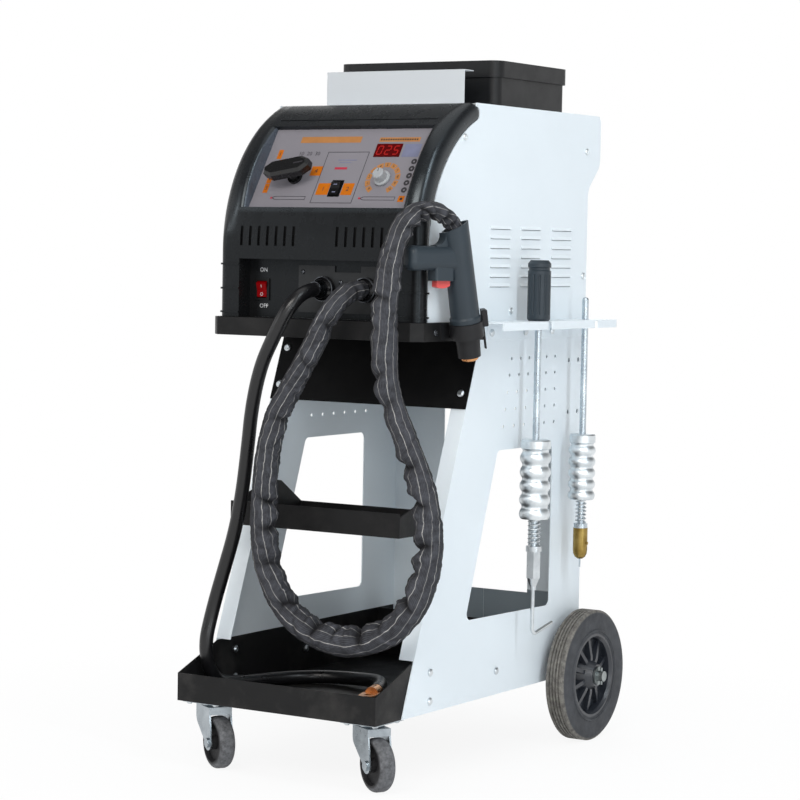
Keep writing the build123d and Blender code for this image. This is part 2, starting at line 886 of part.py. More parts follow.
def rear_axle():
    axle = wheel_place() * Cylinder(axle_radius, 2 * axle_end)
    pin = Pos(axle_end - 5, axle_y, axle_z) * Cylinder(2.1, 40)
    return axle - both_sides(pin)


def axle_fasteners():
    low = Align.MIN
    face = wheel_inner + wheel_width + 5.4
    ring = Cylinder(14, 2.4, align=(Align.CENTER, Align.CENTER, low))
    ring -= Cylinder(axle_radius + running, 20)
    washer = Pos(face, axle_y, axle_z) * Rot(0, 90, 0) * ring
    pin = Pos(axle_end - 5, axle_y, axle_z) * Cylinder(2, 26)
    left_washer = mirror(washer, Plane.YZ)
    left_pin = mirror(pin, Plane.YZ)
    return Compound(children=[Compound(item.solids()) for item in (washer, pin, left_washer, left_pin)])


def wheel_tyre():
    r = axle_z
    low = wheel_inner
    high = wheel_inner + wheel_width
    points = [(rim_radius, low), (r - 9, low), (r - 3, low + 0.9), (r, low + tyre_edge)]
    step = (wheel_width - 2 * tyre_edge) / (tread_grooves + 1)
    for groove in range(tread_grooves):
        x = low + tyre_edge + step * (groove + 1)
        points += [(r, x - 1.2), (r - 2.2, x - 0.8), (r - 2.2, x + 0.8), (r, x + 1.2)]
    bead = rim_radius + 7
    points += [(r, high - tyre_edge), (r - 3, high - 0.9), (r - 9, high), (bead, high)]
    points += [(bead - 1, high + bead_proud), (bead - 3.5, high + bead_proud)]
    points += [(bead - 4.5, high), (rim_radius, high)]
    return turned(points, wheel_place())


def wheel_hub():
    low = wheel_inner
    high = wheel_inner + wheel_width
    bore = axle_radius + running
    web = high - web_deep
    points = [
        (rim_radius, low + 0.5),
        (rim_radius, high - 0.5),
        (hub_recess + 3, high - 0.5),
        (hub_recess, high - 5),
        (hub_recess, web),
        (hub_boss, web),
        (hub_nose, high + 5),
        (bore, high + 5),
        (bore, cabinet_half + 1.4),
        (hub_nose, cabinet_half + 1.4),
        (hub_nose, web - web_thick),
        (hub_recess, web - web_thick),
        (hub_recess, low + 0.5),
    ]
    hub = turned(points, Pos(0, 0, 0))
    side = shape(
        (hub_nose, web - web_thick / 2),
        (hub_recess + 2, web - web_thick / 2),
        (hub_recess + 2, high - 11),
        (hub_boss, high - 5),
        (hub_nose, high - 5),
    )
    rib = extrude(Plane.XZ.offset(-spoke_half) * side, 2 * spoke_half)
    for spoke in range(hub_spokes):
        hub += Rot(0, 0, 360 * spoke / hub_spokes) * rib
    return wheel_place() * hub


# Front casters, drawn at their own swivel axis with the trail along x
def caster_place(side):
    return Pos(side * caster_x, caster_y, 0) * Rot(0, 0, caster_turn)


def caster_plates():
    plates = []
    low = side_bottom - plate_thick
    for side in (-1, 1):
        plate = block(-30, 30, -35, 35, low, side_bottom)
        pin_head = crown_low - 0.4
        race = [(0, pin_head - 2.2), (9, pin_head - 2.2), (9, pin_head), (king_pin, pin_head)]
        race += [(king_pin, crown_high + 0.4), (17, crown_high + 0.4), (19, low), (0, low)]
        plate += turned(race, Pos(0, 0, 0))
        plates.append(Pos(side * caster_x, caster_y, 0) * plate)
    return plates[0] + plates[1]


def caster_fork(side):
    inner = caster_width / 2 + 3.2
    outer = inner + fork_sheet
    top = crown_high
    crown = block(-crown_half, crown_half, -outer, outer, crown_low, top)
    over_wheel = 2 * caster_radius + 2.2
    crown += block(crown_half - fork_sheet, crown_half, -outer, outer, over_wheel, top)
    crown += block(-crown_half, fork_sheet - crown_half, -outer, outer, over_wheel - 6, top)
    leg = shape(
        (-crown_half, top),
        (-crown_half, over_wheel - 12),
        (caster_trail - 11, caster_radius),
        (caster_trail + 11, caster_radius),
        (crown_half, over_wheel),
        (crown_half, top),
    )
    leg = fillet(corner(leg, -crown_half, over_wheel - 12), 16)
    leg += Pos(caster_trail, caster_radius) * Circle(11)
    cheek = extrude(Plane.XZ.offset(inner) * leg, fork_sheet)
    fork = crown + cheek + mirror(cheek, Plane.XZ)
    fork -= Pos(0, 0, top) * Cylinder(king_pin + running, 30)
    axle = Rot(90, 0, 0) * Cylinder(caster_axle, 2 * outer)
    heads = Rot(90, 0, 0) * Cylinder(7, 2 * outer + 5.6)
    heads -= Rot(90, 0, 0) * Cylinder(10, 2 * outer - 0.4)
    fork += Pos(caster_trail, 0, caster_radius) * (axle + heads)
    return caster_place(side) * fork


def caster_wheel(side):
    r = caster_radius
    w = caster_width / 2
    bore = caster_axle + running
    boss = w + 2.8
    half = [(bore, boss), (10, boss), (10, w - 6), (r - 12, w - 6), (r - 9.5, w), (r - 8, w)]
    edges = Polyline(*half).edges()
    edges += ThreePointArc((r - 8, w), (r - 2.2, w - 2.6), (r, w - 8)).edges()
    edges += Line((r, w - 8), (r, 8 - w)).edges()
    edges += ThreePointArc((r, 8 - w), (r - 2.2, 2.6 - w), (r - 8, -w)).edges()
    edges += Polyline(*[(x, -y) for x, y in reversed(half)], (bore, boss)).edges()
    wheel = turned_edges(edges, Pos(caster_trail, 0, caster_radius) * Rot(90, 0, 0))
    return caster_place(side) * wheel


# Gun, drawn along its own barrel
def gun_place():
    lean = radians(gun_lean)
    plane = Plane(origin=(gun_x, gun_y, gun_z), x_dir=(1, 0, 0), z_dir=(0, -sin(lean), cos(lean)))
    return plane.location


def grip_place():
    heading = radians(grip_heading)
    lean = radians(gun_lean)
    along = (grip_z - gun_z) / cos(lean)
    ahead = (-sin(heading), -cos(heading), 0)
    origin = (gun_x, gun_y - along * sin(lean), grip_z)
    return Plane(origin=origin, x_dir=(cos(heading), -sin(heading), 0), z_dir=ahead).location


def shoulder():
    return ring_high + seam


def trigger_from():
    return barrel_low_radius - 3


def gun_mouth(along):
    lean = radians(gun_lean)
    return (gun_x, gun_y - along * sin(lean), gun_z + along * cos(lean))


# The barrel's open top slants towards the lead
def mouth_plane():
    heading = radians(mouth_heading)
    lean = radians(mouth_lean)
    away = (-sin(heading) * sin(lean), -cos(heading) * sin(lean), cos(lean))
    return Plane(origin=gun_mouth(barrel_top), z_dir=away)


def gun_grip():
    sections = []
    for along, swell in ((0, 5), (grip_long * 0.45, 0), (grip_long, 2)):
        face = RectangleRounded(grip_width + swell / 2, grip_high + swell, 12)
        sections.append(Pos(0, 0, along) * face)
    grip = loft(sections)
    return fillet(grip.faces().sort_by(Axis.Z)[-1].edges(), 9)


# Curved web where the grip runs into the barrel
def gun_web():
    top = grip_high / 2
    edges = Polyline((top + 1, 42), (top - 5, 42), (top - 5, 16), (top + 18, 26), (top + 18, 28)).edges()
    edges += ThreePointArc((top + 18, 28), (top + 4.6, 31.5), (top + 1, 42)).edges()
    return across(make_face(edges), -web_half, web_half)


def gun_body():
    foot = shoulder()
    top = barrel_top + barrel_top_radius
    points = [(0, foot), (barrel_foot_radius, foot), (barrel_foot_radius, foot + 6)]
    points += [(barrel_low_radius, foot + 9), (barrel_top_radius, top), (0, top)]
    gun = turned(points, gun_place())
    low = (Align.CENTER, Align.CENTER, Align.MIN)
    gun -= mouth_plane().location * Box(52, 52, 60, align=low)
    gun -= gun_place() * Pos(0, 0, barrel_top) * Cylinder(mouth_radius, 2 * mouth_deep)
    start = trigger_from()
    under = -grip_high / 2 - house_low
    house = block(-house_half, house_half, under, -8, start - 4, start + trigger_long + 5)
    house = fillet(house.edges().filter_by(Axis.Y), 4)
    gun += grip_place() * (gun_grip() + house + gun_web()) - gun_place() * Cylinder(mouth_radius, 60)
    play = trigger_play
    half = trigger_wide / 2
    end = start + trigger_long
    well = block(-half - play, half + play, -60, -grip_high / 2 - 1, start - play, end + play)
    return gun - grip_place() * well


def gun_trigger():
    start = trigger_from()
    end = start + trigger_long
    half = trigger_wide / 2
    low = -grip_high / 2 - trigger_low
    top = low + trigger_high
    edges = Polyline((low + 4, start), (top, start), (top, end), (low + 2, end)).edges()
    edges += ThreePointArc((low + 2, end), (low, start + 0.6 * trigger_long), (low + 4, start)).edges()
    return grip_place() * across(make_face(edges), -half, half)


def gun_nozzle():
    r = ring_inner - 1
    points = [(0, nozzle_low), (r - 1, nozzle_low), (r, ring_low - 4), (r, shoulder()), (0, shoulder())]
    return turned(points, gun_place())


def gun_tip():
    points = [(3, tip_low), (10.5, tip_low), (12, tip_low + 1.5), (12, nozzle_low), (3, nozzle_low)]
    return turned(points, gun_place())


def gun_holder():
    points = [(ring_inner, ring_low), (ring_outer, ring_low)]
    points += [(ring_outer, ring_high), (ring_inner, ring_high)]
    ring = turned(points, gun_place())
    foot = block(shelf_half, shelf_half + 2.5, gun_y - 30, gun_y + 30, shelf_low + 2, deck_z - 1)
    arm = block(shelf_half, gun_x - 14, gun_y - 9, gun_y + 9, shelf_low + 8, deck_z - 4)
    arm -= gun_place() * Cylinder(ring_inner + 1, 200)
    clip = block(ring_outer - 0.6, ring_outer + 7.5, -6, 6, ring_high - 10, ring_high + 14)
    clip = fillet(clip.faces().sort_by(Axis.X)[-1].edges(), 2.5)
    clip += block(ring_outer - 0.6, ring_outer + 1.4, -3, 3, ring_low - 20, ring_high)
    return ring + foot + arm + gun_place() * Rot(0, 0, clip_turn) * clip


# Slide hammers
def upright(points, y):
    return turned(points, Pos(tool_x, y, 0))


# Half section of a weight: round ribs, round valleys and a plain cap
def ribbed(bore, radius, low, high):
    pitch = (high - low - weight_cap) / weight_ribs
    flank = radius - 2.6
    valley = radius - 3.6
    edges = Line((bore, low), (flank, low)).edges()
    for rib in range(weight_ribs):
        base = low + rib * pitch
        turn = base + 0.72 * pitch
        edges += ThreePointArc((flank, base), (radius, base + 0.36 * pitch), (flank, turn)).edges()
        edges += ThreePointArc((flank, turn), (valley, base + 0.86 * pitch), (flank, base + pitch)).edges()
    cap = high - weight_cap
    rim = radius - 0.8
    crown = [(flank, cap), (rim, cap + 1.2), (rim, high - 2), (rim - 2, high)]
    edges += Polyline(*crown, (bore, high), (bore, low)).edges()
    return edges


def hook_handle():
    low = deck_z + seam
    r = handle_radius
    bore = rod_radius + 0.02
    points = [
        (bore, low),
        (r - 2, low),
        (r, low + 3),
        (r, handle_high - 16),
        (r - 1.6, handle_high - 14.5),
        (r - 1.6, handle_high - 11.5),
        (r, handle_high - 10),
        (r, handle_high - 5),
        (r - 4, handle_high),
        (0, handle_high),
        (0, handle_high - 12),
        (bore, handle_high - 12),
    ]
    handle = upright(points, hook_y)
    flutes = []
    for flute in range(handle_flutes):
        angle = 2 * pi * flute / handle_flutes
        x = tool_x + (r + 0.5) * cos(angle)
        y = hook_y + (r + 0.5) * sin(angle)
        flutes.append(Pos(x, y, (low + handle_high) / 2 - 6) * Cylinder(1.7, handle_high - low - 30))
    return handle - flutes


def hook_rod():
    low = hook_chuck_high - 20
    high = handle_high - 12.2
    return upright([(0, low), (rod_radius, low), (rod_radius, high), (0, high)], hook_y)


def hook_weight():
    edges = ribbed(rod_radius + running, hook_weight_radius, hook_weight_low, hook_weight_high)
    return turned_edges(edges, Pos(tool_x, hook_y, 0))


def hook_chuck():
    low = hook_chuck_low
    high = hook_chuck_high
    body = extrude(Pos(0, 0, low + 18) * RegularPolygon(9.8, 6, major_radius=False), high - low - 26)
    nose = turned([(0, low), (4.6, low), (4.6, low + 5), (9.4, low + 18.5), (0, low + 18.5)], Pos(0, 0, 0))
    collar = Pos(0, 0, high - 8) * Cylinder(11.5, 8, align=(Align.CENTER, Align.CENTER, Align.MIN))
    upwards = (Align.CENTER, Align.CENTER, Align.MIN)
    bore = Pos(0, 0, high - 20.3) * Cylinder(rod_radius + 0.02, 40, align=upwards)
    return Pos(tool_x, hook_y, 0) * (body + nose + collar - bore)


def pulling_hook():
    start = (tool_x, hook_y, hook_chuck_low)
    bend = (tool_x, hook_y, 183)
    tip = (tool_x, hook_y + 59, 195)
    path = FilletPolyline(start, bend, tip, radius=9)
    section = Plane(origin=path @ 0, z_dir=path % 0) * Circle(2.8)
    return sweep(section, path=path)


def stud_rod():
    neck_low_z = deck_z - sheet - seam
    neck_high_z = deck_z + seam
    neck = rod_radius - 1.5
    points = [
        (0, stud_collet_low - 13),
        (1.25, stud_collet_low - 13),
        (1.25, stud_collar_low),
        (10.5, stud_collar_low),
        (10.5, stud_collar_high),
        (rod_radius, stud_collar_high),
        (rod_radius, neck_low_z),
        (neck, neck_low_z),
        (neck, neck_high_z),
        (rod_radius, neck_high_z),
        (rod_radius, stud_top - 4),
        (rod_radius - 1.2, stud_top - 1.2),
        (rod_radius - 4, stud_top),
        (0, stud_top),
    ]
    return upright(points, stud_y)


def stud_weight():
    edges = ribbed(rod_radius + running, stud_weight_radius, stud_weight_low, stud_weight_high)
    return turned_edges(edges, Pos(tool_x, stud_y, 0))


def stud_collet():
    low = stud_collet_low
    high = stud_collar_low
    points = [(1.28, low), (4, low), (8, low + 3), (10.4, low + 8), (11, low + 14), (11, high), (1.28, high)]
    body = upright(points, stud_y)
    slit = block(tool_x - 20, tool_x + 20, stud_y - 0.8, stud_y + 0.8, low - 5, low + 18)
    body -= slit & (Pos(tool_x, stud_y, low) * (Cylinder(20, 80) - Cylinder(2.5, 90)))
    body += Pos(tool_x + 10.5, stud_y, low + 24) * Rot(0, 90, 0) * Cylinder(2.4, 4)
    return body


# A helix of quarter turn arcs that join without a kink
def spring(y, low, high, coil):
    steps = spring_turns * 4
    start_z = low + spring_wire + 0.2
    rise = (high - low - 2 * spring_wire - 0.4) / steps
    chord = coil * sqrt(2)
    slope = rise / chord * cos(pi / 4)
    points = []
    for step in range(steps + 1):
        angle = step * pi / 2
        points.append((tool_x + coil * cos(angle), y + coil * sin(angle), start_z + step * rise))
    edges = []
    for step in range(steps):
        angle = step * pi / 2
        heading = (-sin(angle), cos(angle), slope)
        edges.append(TangentArc(points[step], points[step + 1], tangent=heading))
    path = Wire([part.edge() for part in edges])
    print("spring least gap", round(4 * rise * cos(atan2(rise, chord)) - 2 * spring_wire, 2))
    section = Plane(origin=points[0], z_dir=(0, 1, slope)) * Circle(spring_wire)
    return sweep(section, path=path, clean=False)


# Cords of straight runs and round bends
def cord_path(points):
    radii = []
    for before, here, after in zip(points, points[1:], points[2:]):
        first = Vector(here) - Vector(before)
        second = Vector(after) - Vector(here)
        turn = first.get_angle(second)
        short = min(first.length, second.length)
        radii.append(0.45 * short / tan(radians(turn) / 2))
    print("bend radii", [round(radius) for radius in radii])
    return FilletPolyline(*points, radius=radii)


def cord(points, radius):
    path = cord_path(points)
    section = Plane(origin=path @ 0, z_dir=path % 0) * Circle(radius)
    tube = sweep(section, path=path, clean=False)
    share = tube.volume / (pi * radius**2 * path.length)
    print("length", round(path.length), "volume share", round(share, 4))
    return tube


def sleeve_points():
    hang = -283.0
    start = gland_front()
    points = [(gland_x[1], start, gland_z), (gland_x[1], start - 32, gland_z)]
    points += [(gland_x[1] - 10, hang - 2, 664)]
    points += [(38, hang - 5, 622), (4, hang, 570), (-40, hang, 500), (-51, hang - 2, 400), (-50, hang, 310)]
    points += [(-16, hang, 238), (49, hang - 2, 190), (126, hang, 190), (193, hang, 236)]
    points += [(227, hang - 2, 322)]
    points += [(217, hang, 410), (182, hang, 490), (150, hang - 2, 560), (141, hang, 640)]
    points += [(142, hang - 1, 724)]
    x, y, z = gun_mouth(barrel_top)
    points += [(x - 62, y - 85.4, z + 9.4), (x - 46, y - 70, z + 37.4), (x - 23.5, y - 43.5, z + 46)]
    plane = mouth_plane()
    for reach in (35.7, 0.1):
        points.append(tuple(plane.origin + plane.z_dir * reach))
    return points


def cable_points():
    start = gland_front()
    points = [(gland_x[0], start, gland_z), (gland_x[0], start - 34, gland_z), (gland_x[0] - 11, -284, 664)]
    points += [(-36, -287, 622), (-62, -281, 580), (-79, -277, 522), (-89, -272, 460), (-99, -269, 398)]
    points += [(-113, -266, 340), (-132, -266, 282), (-149, -269, 224), (-152, -285, 168)]
    points += [(-150, -262, 118), (-146, -205, 109.2), (-118, -130, 109.2), (-72, -84, 109.2)]
    points += [(-10, -86, 112)]
    points += [(48, -120, 119), (84, -168, 124), (98, -213, 124)]
    return points


def ground_lug():
    points = cable_points()
    end = points[-1]
    before = points[-2]
    heading = degrees(atan2(end[1] - before[1], end[0] - before[0]))
    barrel = Pos(lug_barrel / 2 + 0.1, 0, 0) * Rot(0, 90, 0) * Cylinder(cable_radius - 0.5, lug_barrel)
    half = lug_palm_thick / 2
    palm = block(lug_barrel - 2, lug_long, -lug_palm_half, lug_palm_half, -half, half)
    palm = fillet(palm.edges().filter_by(Axis.Z).sort_by(Axis.X)[-2:], lug_palm_half - 3)
    palm -= Pos(lug_hole_at, 0, 0) * Cylinder(lug_hole_radius, 40)
    return Pos(*end) * Rot(0, 0, heading) * (barrel + palm)


pieces = {
    "side_panel_right": side_panel(),
    "rear_cover": rear_cover(),
    "mains_inlet": mains_inlet(),
    "top_cover": top_cover(),
    "top_tool_tray": top_tool_tray(),
    "deck_plate": deck_plate(),
    "front_bezel": front_bezel(),
    "control_panel": control_panel(),
    "display_window": display_window(),
    "selector_knob": selector_knob(),
    "selector_switch": selector_switch(),
    "level_knob": level_knob(),
    "level_potentiometer": level_potentiometer(),
    "mode_rocker": mode_rocker(),
    "mode_switch_body": mode_switch_body(),
    "power_rocker": power_rocker(),
    "power_switch_body": power_switch_body(),
    "control_board": control_board(),
    "gland_plate": gland_plate(),
    "cable_glands": cable_glands(),
    "shelf": shelf(),
    "apron": apron(),
    "middle_shelf": middle_shelf(),
    "base_tray": base_tray(),
    "tool_bracket": tool_bracket(),
    "frame_bolts": frame_bolts(),
    "transformer_core": transformer_core(),
    "transformer_windings": transformer_windings(),
    "thyristor_sink": thyristor_sink(),
    "busbars": busbars(),
    "rear_axle": rear_axle(),
    "axle_fasteners": axle_fasteners(),
    "wheel_tyre_right": wheel_tyre(),
    "wheel_hub_right": wheel_hub(),
    "caster_plates": caster_plates(),
    "caster_fork_left": caster_fork(-1),
    "caster_fork_right": caster_fork(1),
    "caster_wheel_left": caster_wheel(-1),
    "caster_wheel_right": caster_wheel(1),
    "gun_holder": gun_holder(),
    "gun_body": gun_body(),
    "gun_trigger": gun_trigger(),
    "gun_nozzle": gun_nozzle(),
    "gun_tip": gun_tip(),
    "hook_handle": hook_handle(),
    "hook_rod": hook_rod(),
    "hook_weight": hook_weight(),
    "hook_spring": spring(hook_y, hook_chuck_high, hook_weight_low, hook_spring_radius),
    "hook_chuck": hook_chuck(),
    "pulling_hook": pulling_hook(),
    "stud_rod": stud_rod(),
    "stud_weight": stud_weight(),
    "stud_spring": spring(stud_y, stud_collar_high, stud_weight_low, stud_spring_radius),
    "stud_collet": stud_collet(),
    "torch_sleeve": cord(sleeve_points(), sleeve_radius),
    "ground_cable": cord(cable_points(), cable_radius),
    "ground_lug": ground_lug(),
}

# The left side is the right side mirrored
for name in ("side_panel", "wheel_tyre", "wheel_hub"):
    pieces[name + "_left"] = mirror(pieces[name + "_right"], Plane.YZ)

os.makedirs("parts", exist_ok=True)
for name, piece in pieces.items():
    export_step(piece, f"parts/{name}.step")
print("pieces", len(pieces))
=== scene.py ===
import math
import random

import bmesh
import bpy
from mathutils import Matrix, Vector, noise


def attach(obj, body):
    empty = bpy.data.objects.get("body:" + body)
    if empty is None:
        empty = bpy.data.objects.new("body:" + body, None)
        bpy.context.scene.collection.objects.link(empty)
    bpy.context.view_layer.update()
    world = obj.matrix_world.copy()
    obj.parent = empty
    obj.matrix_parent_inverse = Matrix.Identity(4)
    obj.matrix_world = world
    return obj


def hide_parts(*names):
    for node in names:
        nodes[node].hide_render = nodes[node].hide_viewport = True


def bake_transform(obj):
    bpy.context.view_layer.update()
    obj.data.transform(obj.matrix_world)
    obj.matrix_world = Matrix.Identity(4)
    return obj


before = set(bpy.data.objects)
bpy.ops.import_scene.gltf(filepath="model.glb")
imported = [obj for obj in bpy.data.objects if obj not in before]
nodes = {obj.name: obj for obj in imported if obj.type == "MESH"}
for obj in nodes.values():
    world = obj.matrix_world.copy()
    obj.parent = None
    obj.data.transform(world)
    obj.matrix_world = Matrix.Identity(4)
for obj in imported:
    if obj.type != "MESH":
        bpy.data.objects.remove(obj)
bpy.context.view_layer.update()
draw = random.Random(7)

# Camera, from the photograph's perspective
camera_azimuth = math.radians(32.08)
camera_elevation = math.radians(3.43)
camera_roll = math.radians(1.04)
camera_place = Vector((2.022, -3.2335, 0.7508))
focal_pixels = 2555.8
image_pixels = 800
sensor_mm = 36.0
far_limit = 50


def add_object(name, data):
    item = bpy.data.objects.new(name, data)
    bpy.context.scene.collection.objects.link(item)
    return item


def mesh_from(item):
    """The mesh that a curve or a line of words makes."""
    bpy.context.view_layer.update()
    return bpy.data.meshes.new_from_object(item.evaluated_get(bpy.context.evaluated_depsgraph_get()))


def place_camera():
    level = Vector((math.cos(camera_azimuth), math.sin(camera_azimuth), 0))
    flat = math.cos(camera_elevation)
    heading_x = -math.sin(camera_azimuth) * flat
    heading_y = math.cos(camera_azimuth) * flat
    heading = Vector((heading_x, heading_y, -math.sin(camera_elevation)))
    upward = level.cross(heading)
    right = level * math.cos(camera_roll) + upward * math.sin(camera_roll)
    up = upward * math.cos(camera_roll) - level * math.sin(camera_roll)
    data = bpy.data.cameras.new("camera")
    data.sensor_width = sensor_mm
    data.lens = focal_pixels / image_pixels * sensor_mm
    data.clip_end = far_limit
    camera = add_object("camera", data)
    turn = Matrix((right, up, -heading)).transposed().to_4x4()
    camera.matrix_world = Matrix.Translation(camera_place) @ turn
    bpy.context.scene.camera = camera


# Materials
def linear(red, green, blue):
    values = []
    for value in (red, green, blue):
        share = value / 255
        values.append(share / 12.92 if share <= 0.04045 else ((share + 0.055) / 1.055) ** 2.4)
    return (*values, 1.0)


def shade(colour, factor):
    return (*[min(1.0, part * factor) for part in colour[:3]], 1.0)


pure_white = (1.0, 1.0, 1.0, 1.0)
soot = linear(74, 72, 70)


class Tree:
    """Adds and links shader nodes."""

    def __init__(self, tree):
        self.nodes = tree.nodes
        self.links = tree.links

    def feed(self, socket, value):
        if isinstance(value, bpy.types.NodeSocket):
            self.links.new(value, socket)
        else:
            socket.default_value = value

    def put(self, node, name, value):
        self.feed(node.inputs[name], value)

    def add(self, kind, inputs=(), **values):
        node = self.nodes.new(kind)
        for name, value in values.items():
            setattr(node, name, value)
        for name, value in dict(inputs).items():
            self.put(node, name, value)
        return node

    def split(self, vector):
        return self.add("ShaderNodeSeparateXYZ", {"Vector": vector}).outputs

    def ramp(self, value, low, high, start=0.0, end=1.0):
        names = ("Value", "From Min", "From Max", "To Min", "To Max")
        inputs = zip(names, (value, low, high, start, end))
        return self.add("ShaderNodeMapRange", inputs).outputs["Result"]

    def math(self, how, first, second=0.0):
        return self.add("ShaderNodeMath", {0: first, 1: second}, operation=how).outputs[0]

    def product(self, first, *others):
        for other in others:
            first = self.math("MULTIPLY", first, other)
        return first

    def seen_rays(self):
        """One where the camera, a reflection or a clear piece looks."""
        rays = self.add("ShaderNodeLightPath").outputs
        value = rays["Is Camera Ray"]
        for name in ("Is Glossy Ray", "Is Transmission Ray"):
            value = self.math("MAXIMUM", value, rays[name])
        return value


class Maker(Tree):
    """Builds one procedural material, node by node."""

    def __init__(self, name):
        self.material = bpy.data.materials.new(name)
        self.material.use_nodes = True
        super().__init__(self.material.node_tree)
        self.shader = self.nodes["Principled BSDF"]
        self.place = self.add("ShaderNodeTexCoord").outputs["Object"]

    def noise(self, scale, detail=3.0, rough=0.55):
        inputs = {"Vector": self.place, "Scale": scale, "Detail": detail, "Roughness": rough}
        return self.add("ShaderNodeTexNoise", inputs).outputs["Fac"]

    def wave(self, way, scale, distortion=0.0):
        inputs = {"Vector": self.place, "Scale": scale, "Distortion": distortion}
        node = self.add("ShaderNodeTexWave", inputs, wave_type="BANDS", bands_direction=way)
        return node.outputs["Fac"]

    def mix(self, share, first, second):
        node = self.add("ShaderNodeMix", {"Factor": share}, data_type="RGBA")
        colours = [socket for socket in node.inputs if socket.type == "RGBA"]
        for socket, value in zip(colours, (first, second)):
            self.feed(socket, value)
        return next(socket for socket in node.outputs if socket.type == "RGBA")

    def vector(self, how, first, second=None):
        inputs = {0: first} if second is None else {0: first, 1: second}
        node = self.add("ShaderNodeVectorMath", inputs, operation=how)
        return node.outputs["Value" if how == "LENGTH" else "Vector"]

    def around(self, centre, axis):
        """Distance from an axis through a centre."""
        away = self.vector("SUBTRACT", self.place, centre)
        return self.vector("LENGTH", self.vector("CROSS_PRODUCT", away, axis))

    def from_middle(self, turns):
        """Distance from the middle of the cell that a place falls in."""
        return self.math("ABSOLUTE", self.math("SUBTRACT", self.math("FRACT", turns), 0.5))

    def bump(self, height, strength, distance):
        inputs = {"Strength": strength, "Distance": distance, "Height": height}
        node = self.add("ShaderNodeBump", inputs)
        before = self.shader.inputs["Normal"].links
        if before:
            self.put(node, "Normal", before[0].from_socket)
        self.put(self.shader, "Normal", node.outputs["Normal"])

    def colour(self, value):
        self.base = value
        self.put(self.shader, "Base Color", value)

    def rough(self, scale, low, high, detail=3.0):
        """Gloss that varies a little over the surface."""
        uneven = self.ramp(self.noise(scale, detail), 0.3, 0.7, low, high)
        self.put(self.shader, "Roughness", uneven)

    def shine(self, value):
        self.put(self.shader, "Specular IOR Level", value)


def coated(name, colour, rough, shine, grain, grain_size, vary=0.08, dust=0.0):
    """Paint or moulding: slow colour drift, uneven gloss, fine grain and a little dust."""
    made = Maker(name)
    colour = linear(*colour)
    drift = made.ramp(made.noise(7.0, 4.0), 0.35, 0.65)
    ground = made.mix(drift, shade(colour, 1 - vary), shade(colour, 1 + vary))
    if dust:
        cloud = made.ramp(made.noise(16.0, 7.0, 0.62), 0.48, 0.74, 0.0, dust)
        ground = made.mix(cloud, ground, soot)
    made.colour(ground)
    made.rough(45.0, rough - 0.05, rough + 0.07, 5.0)
    made.shine(shine)
    made.bump(made.noise(1 / grain_size, 2.0), grain, grain_size * 0.4)
    return made


# White paint: roughness, shine, grain, grain size and colour drift
white_coat = (0.42, 0.35, 0.12, 0.0022, 0.012)


def top_paint():
    """White paint, greyer on top of the cover."""
    made = coated("top_paint", (232, 238, 242), *white_coat)
    upper = made.ramp(made.split(made.place)["Z"], 0.9575, 0.9585)
    made.colour(made.mix(upper, made.base, linear(196, 200, 204)))
    return made.material


def panel_paint():
    """White paint, with painted shade on the strip behind the base tray: its inner face is painted slate
    grey from a little left of the middle rightwards.
    """
    made = coated("white_paint", (230, 238, 243), *white_coat)
    spot = made.split(made.place)
    surface = made.add("ShaderNodeNewGeometry").outputs["Normal"]
    inside = made.ramp(made.split(surface)["Y"], -0.4, -0.6)
    rear = made.ramp(spot["Y"], 0.244, 0.247)
    low = made.ramp(spot["Z"], 0.219, 0.217)
    right = made.ramp(spot["X"], -0.10, -0.05)
    painted_shade_strip = made.product(inside, rear, low, right)
    # Painted shade: slate grey where the strip's inner face lies in shade behind the tray
    made.colour(made.mix(painted_shade_strip, made.base, linear(130, 140, 146)))
    return made.material


def polished_moulding():
    """Black moulding, dull on its face, with its round arms and top rubbed to a sheen; the rubbed parts get
    a painted bluish reflection tint, and the window's upright reveal walls a paler painted highlight.
    """
    made = coated("black_moulding", (23, 23, 24), 0.27, 0.2, 0.015, 0.0014)
    spot = made.split(made.place)
    across = made.math("ABSOLUTE", spot["X"])
    upper = made.ramp(spot["Z"], 0.76, 0.81)
    arms = made.product(made.ramp(across, 0.136, 0.148), upper)
    rubbed_and_painted_sheen = made.math("MAXIMUM", arms, made.ramp(spot["Z"], 0.796, 0.801))
    made.shine(made.ramp(rubbed_and_painted_sheen, 0.0, 1.0, 0.2, 0.55))
    # Painted reflection: a bluish tint on the rubbed arms and top
    ground = made.mix(made.product(rubbed_and_painted_sheen, 0.7), made.base, linear(19, 21, 24))
    # Painted highlight: the window's upright reveal walls are painted a paler blue-grey
    surface = made.add("ShaderNodeNewGeometry").outputs["Normal"]
    upright = made.ramp(made.math("ABSOLUTE", made.split(surface)["X"]), 0.6, 0.8)
    between = made.ramp(across, 0.139, 0.136)
    lit_reveal = made.product(upright, between, made.ramp(spot["Z"], 0.79, 0.80))
    made.colour(made.mix(lit_reveal, ground, linear(66, 71, 80)))
    outward = made.ramp(across, 0.142, 0.160, 0.0, 0.5)
    lean = made.product(made.math("SIGN", spot["X"]), outward, upper)
    sideways = made.add("ShaderNodeCombineXYZ", {"X": lean})
    leaning = made.vector("ADD", surface, sideways.outputs[0])
    grain = made.shader.inputs["Normal"].links[0].from_node
    made.put(grain, "Normal", made.vector("NORMALIZE", leaning))
    made.put(made.shader, "Specular Tint", (0.82, 0.93, 1.0, 1.0))
    return made.material


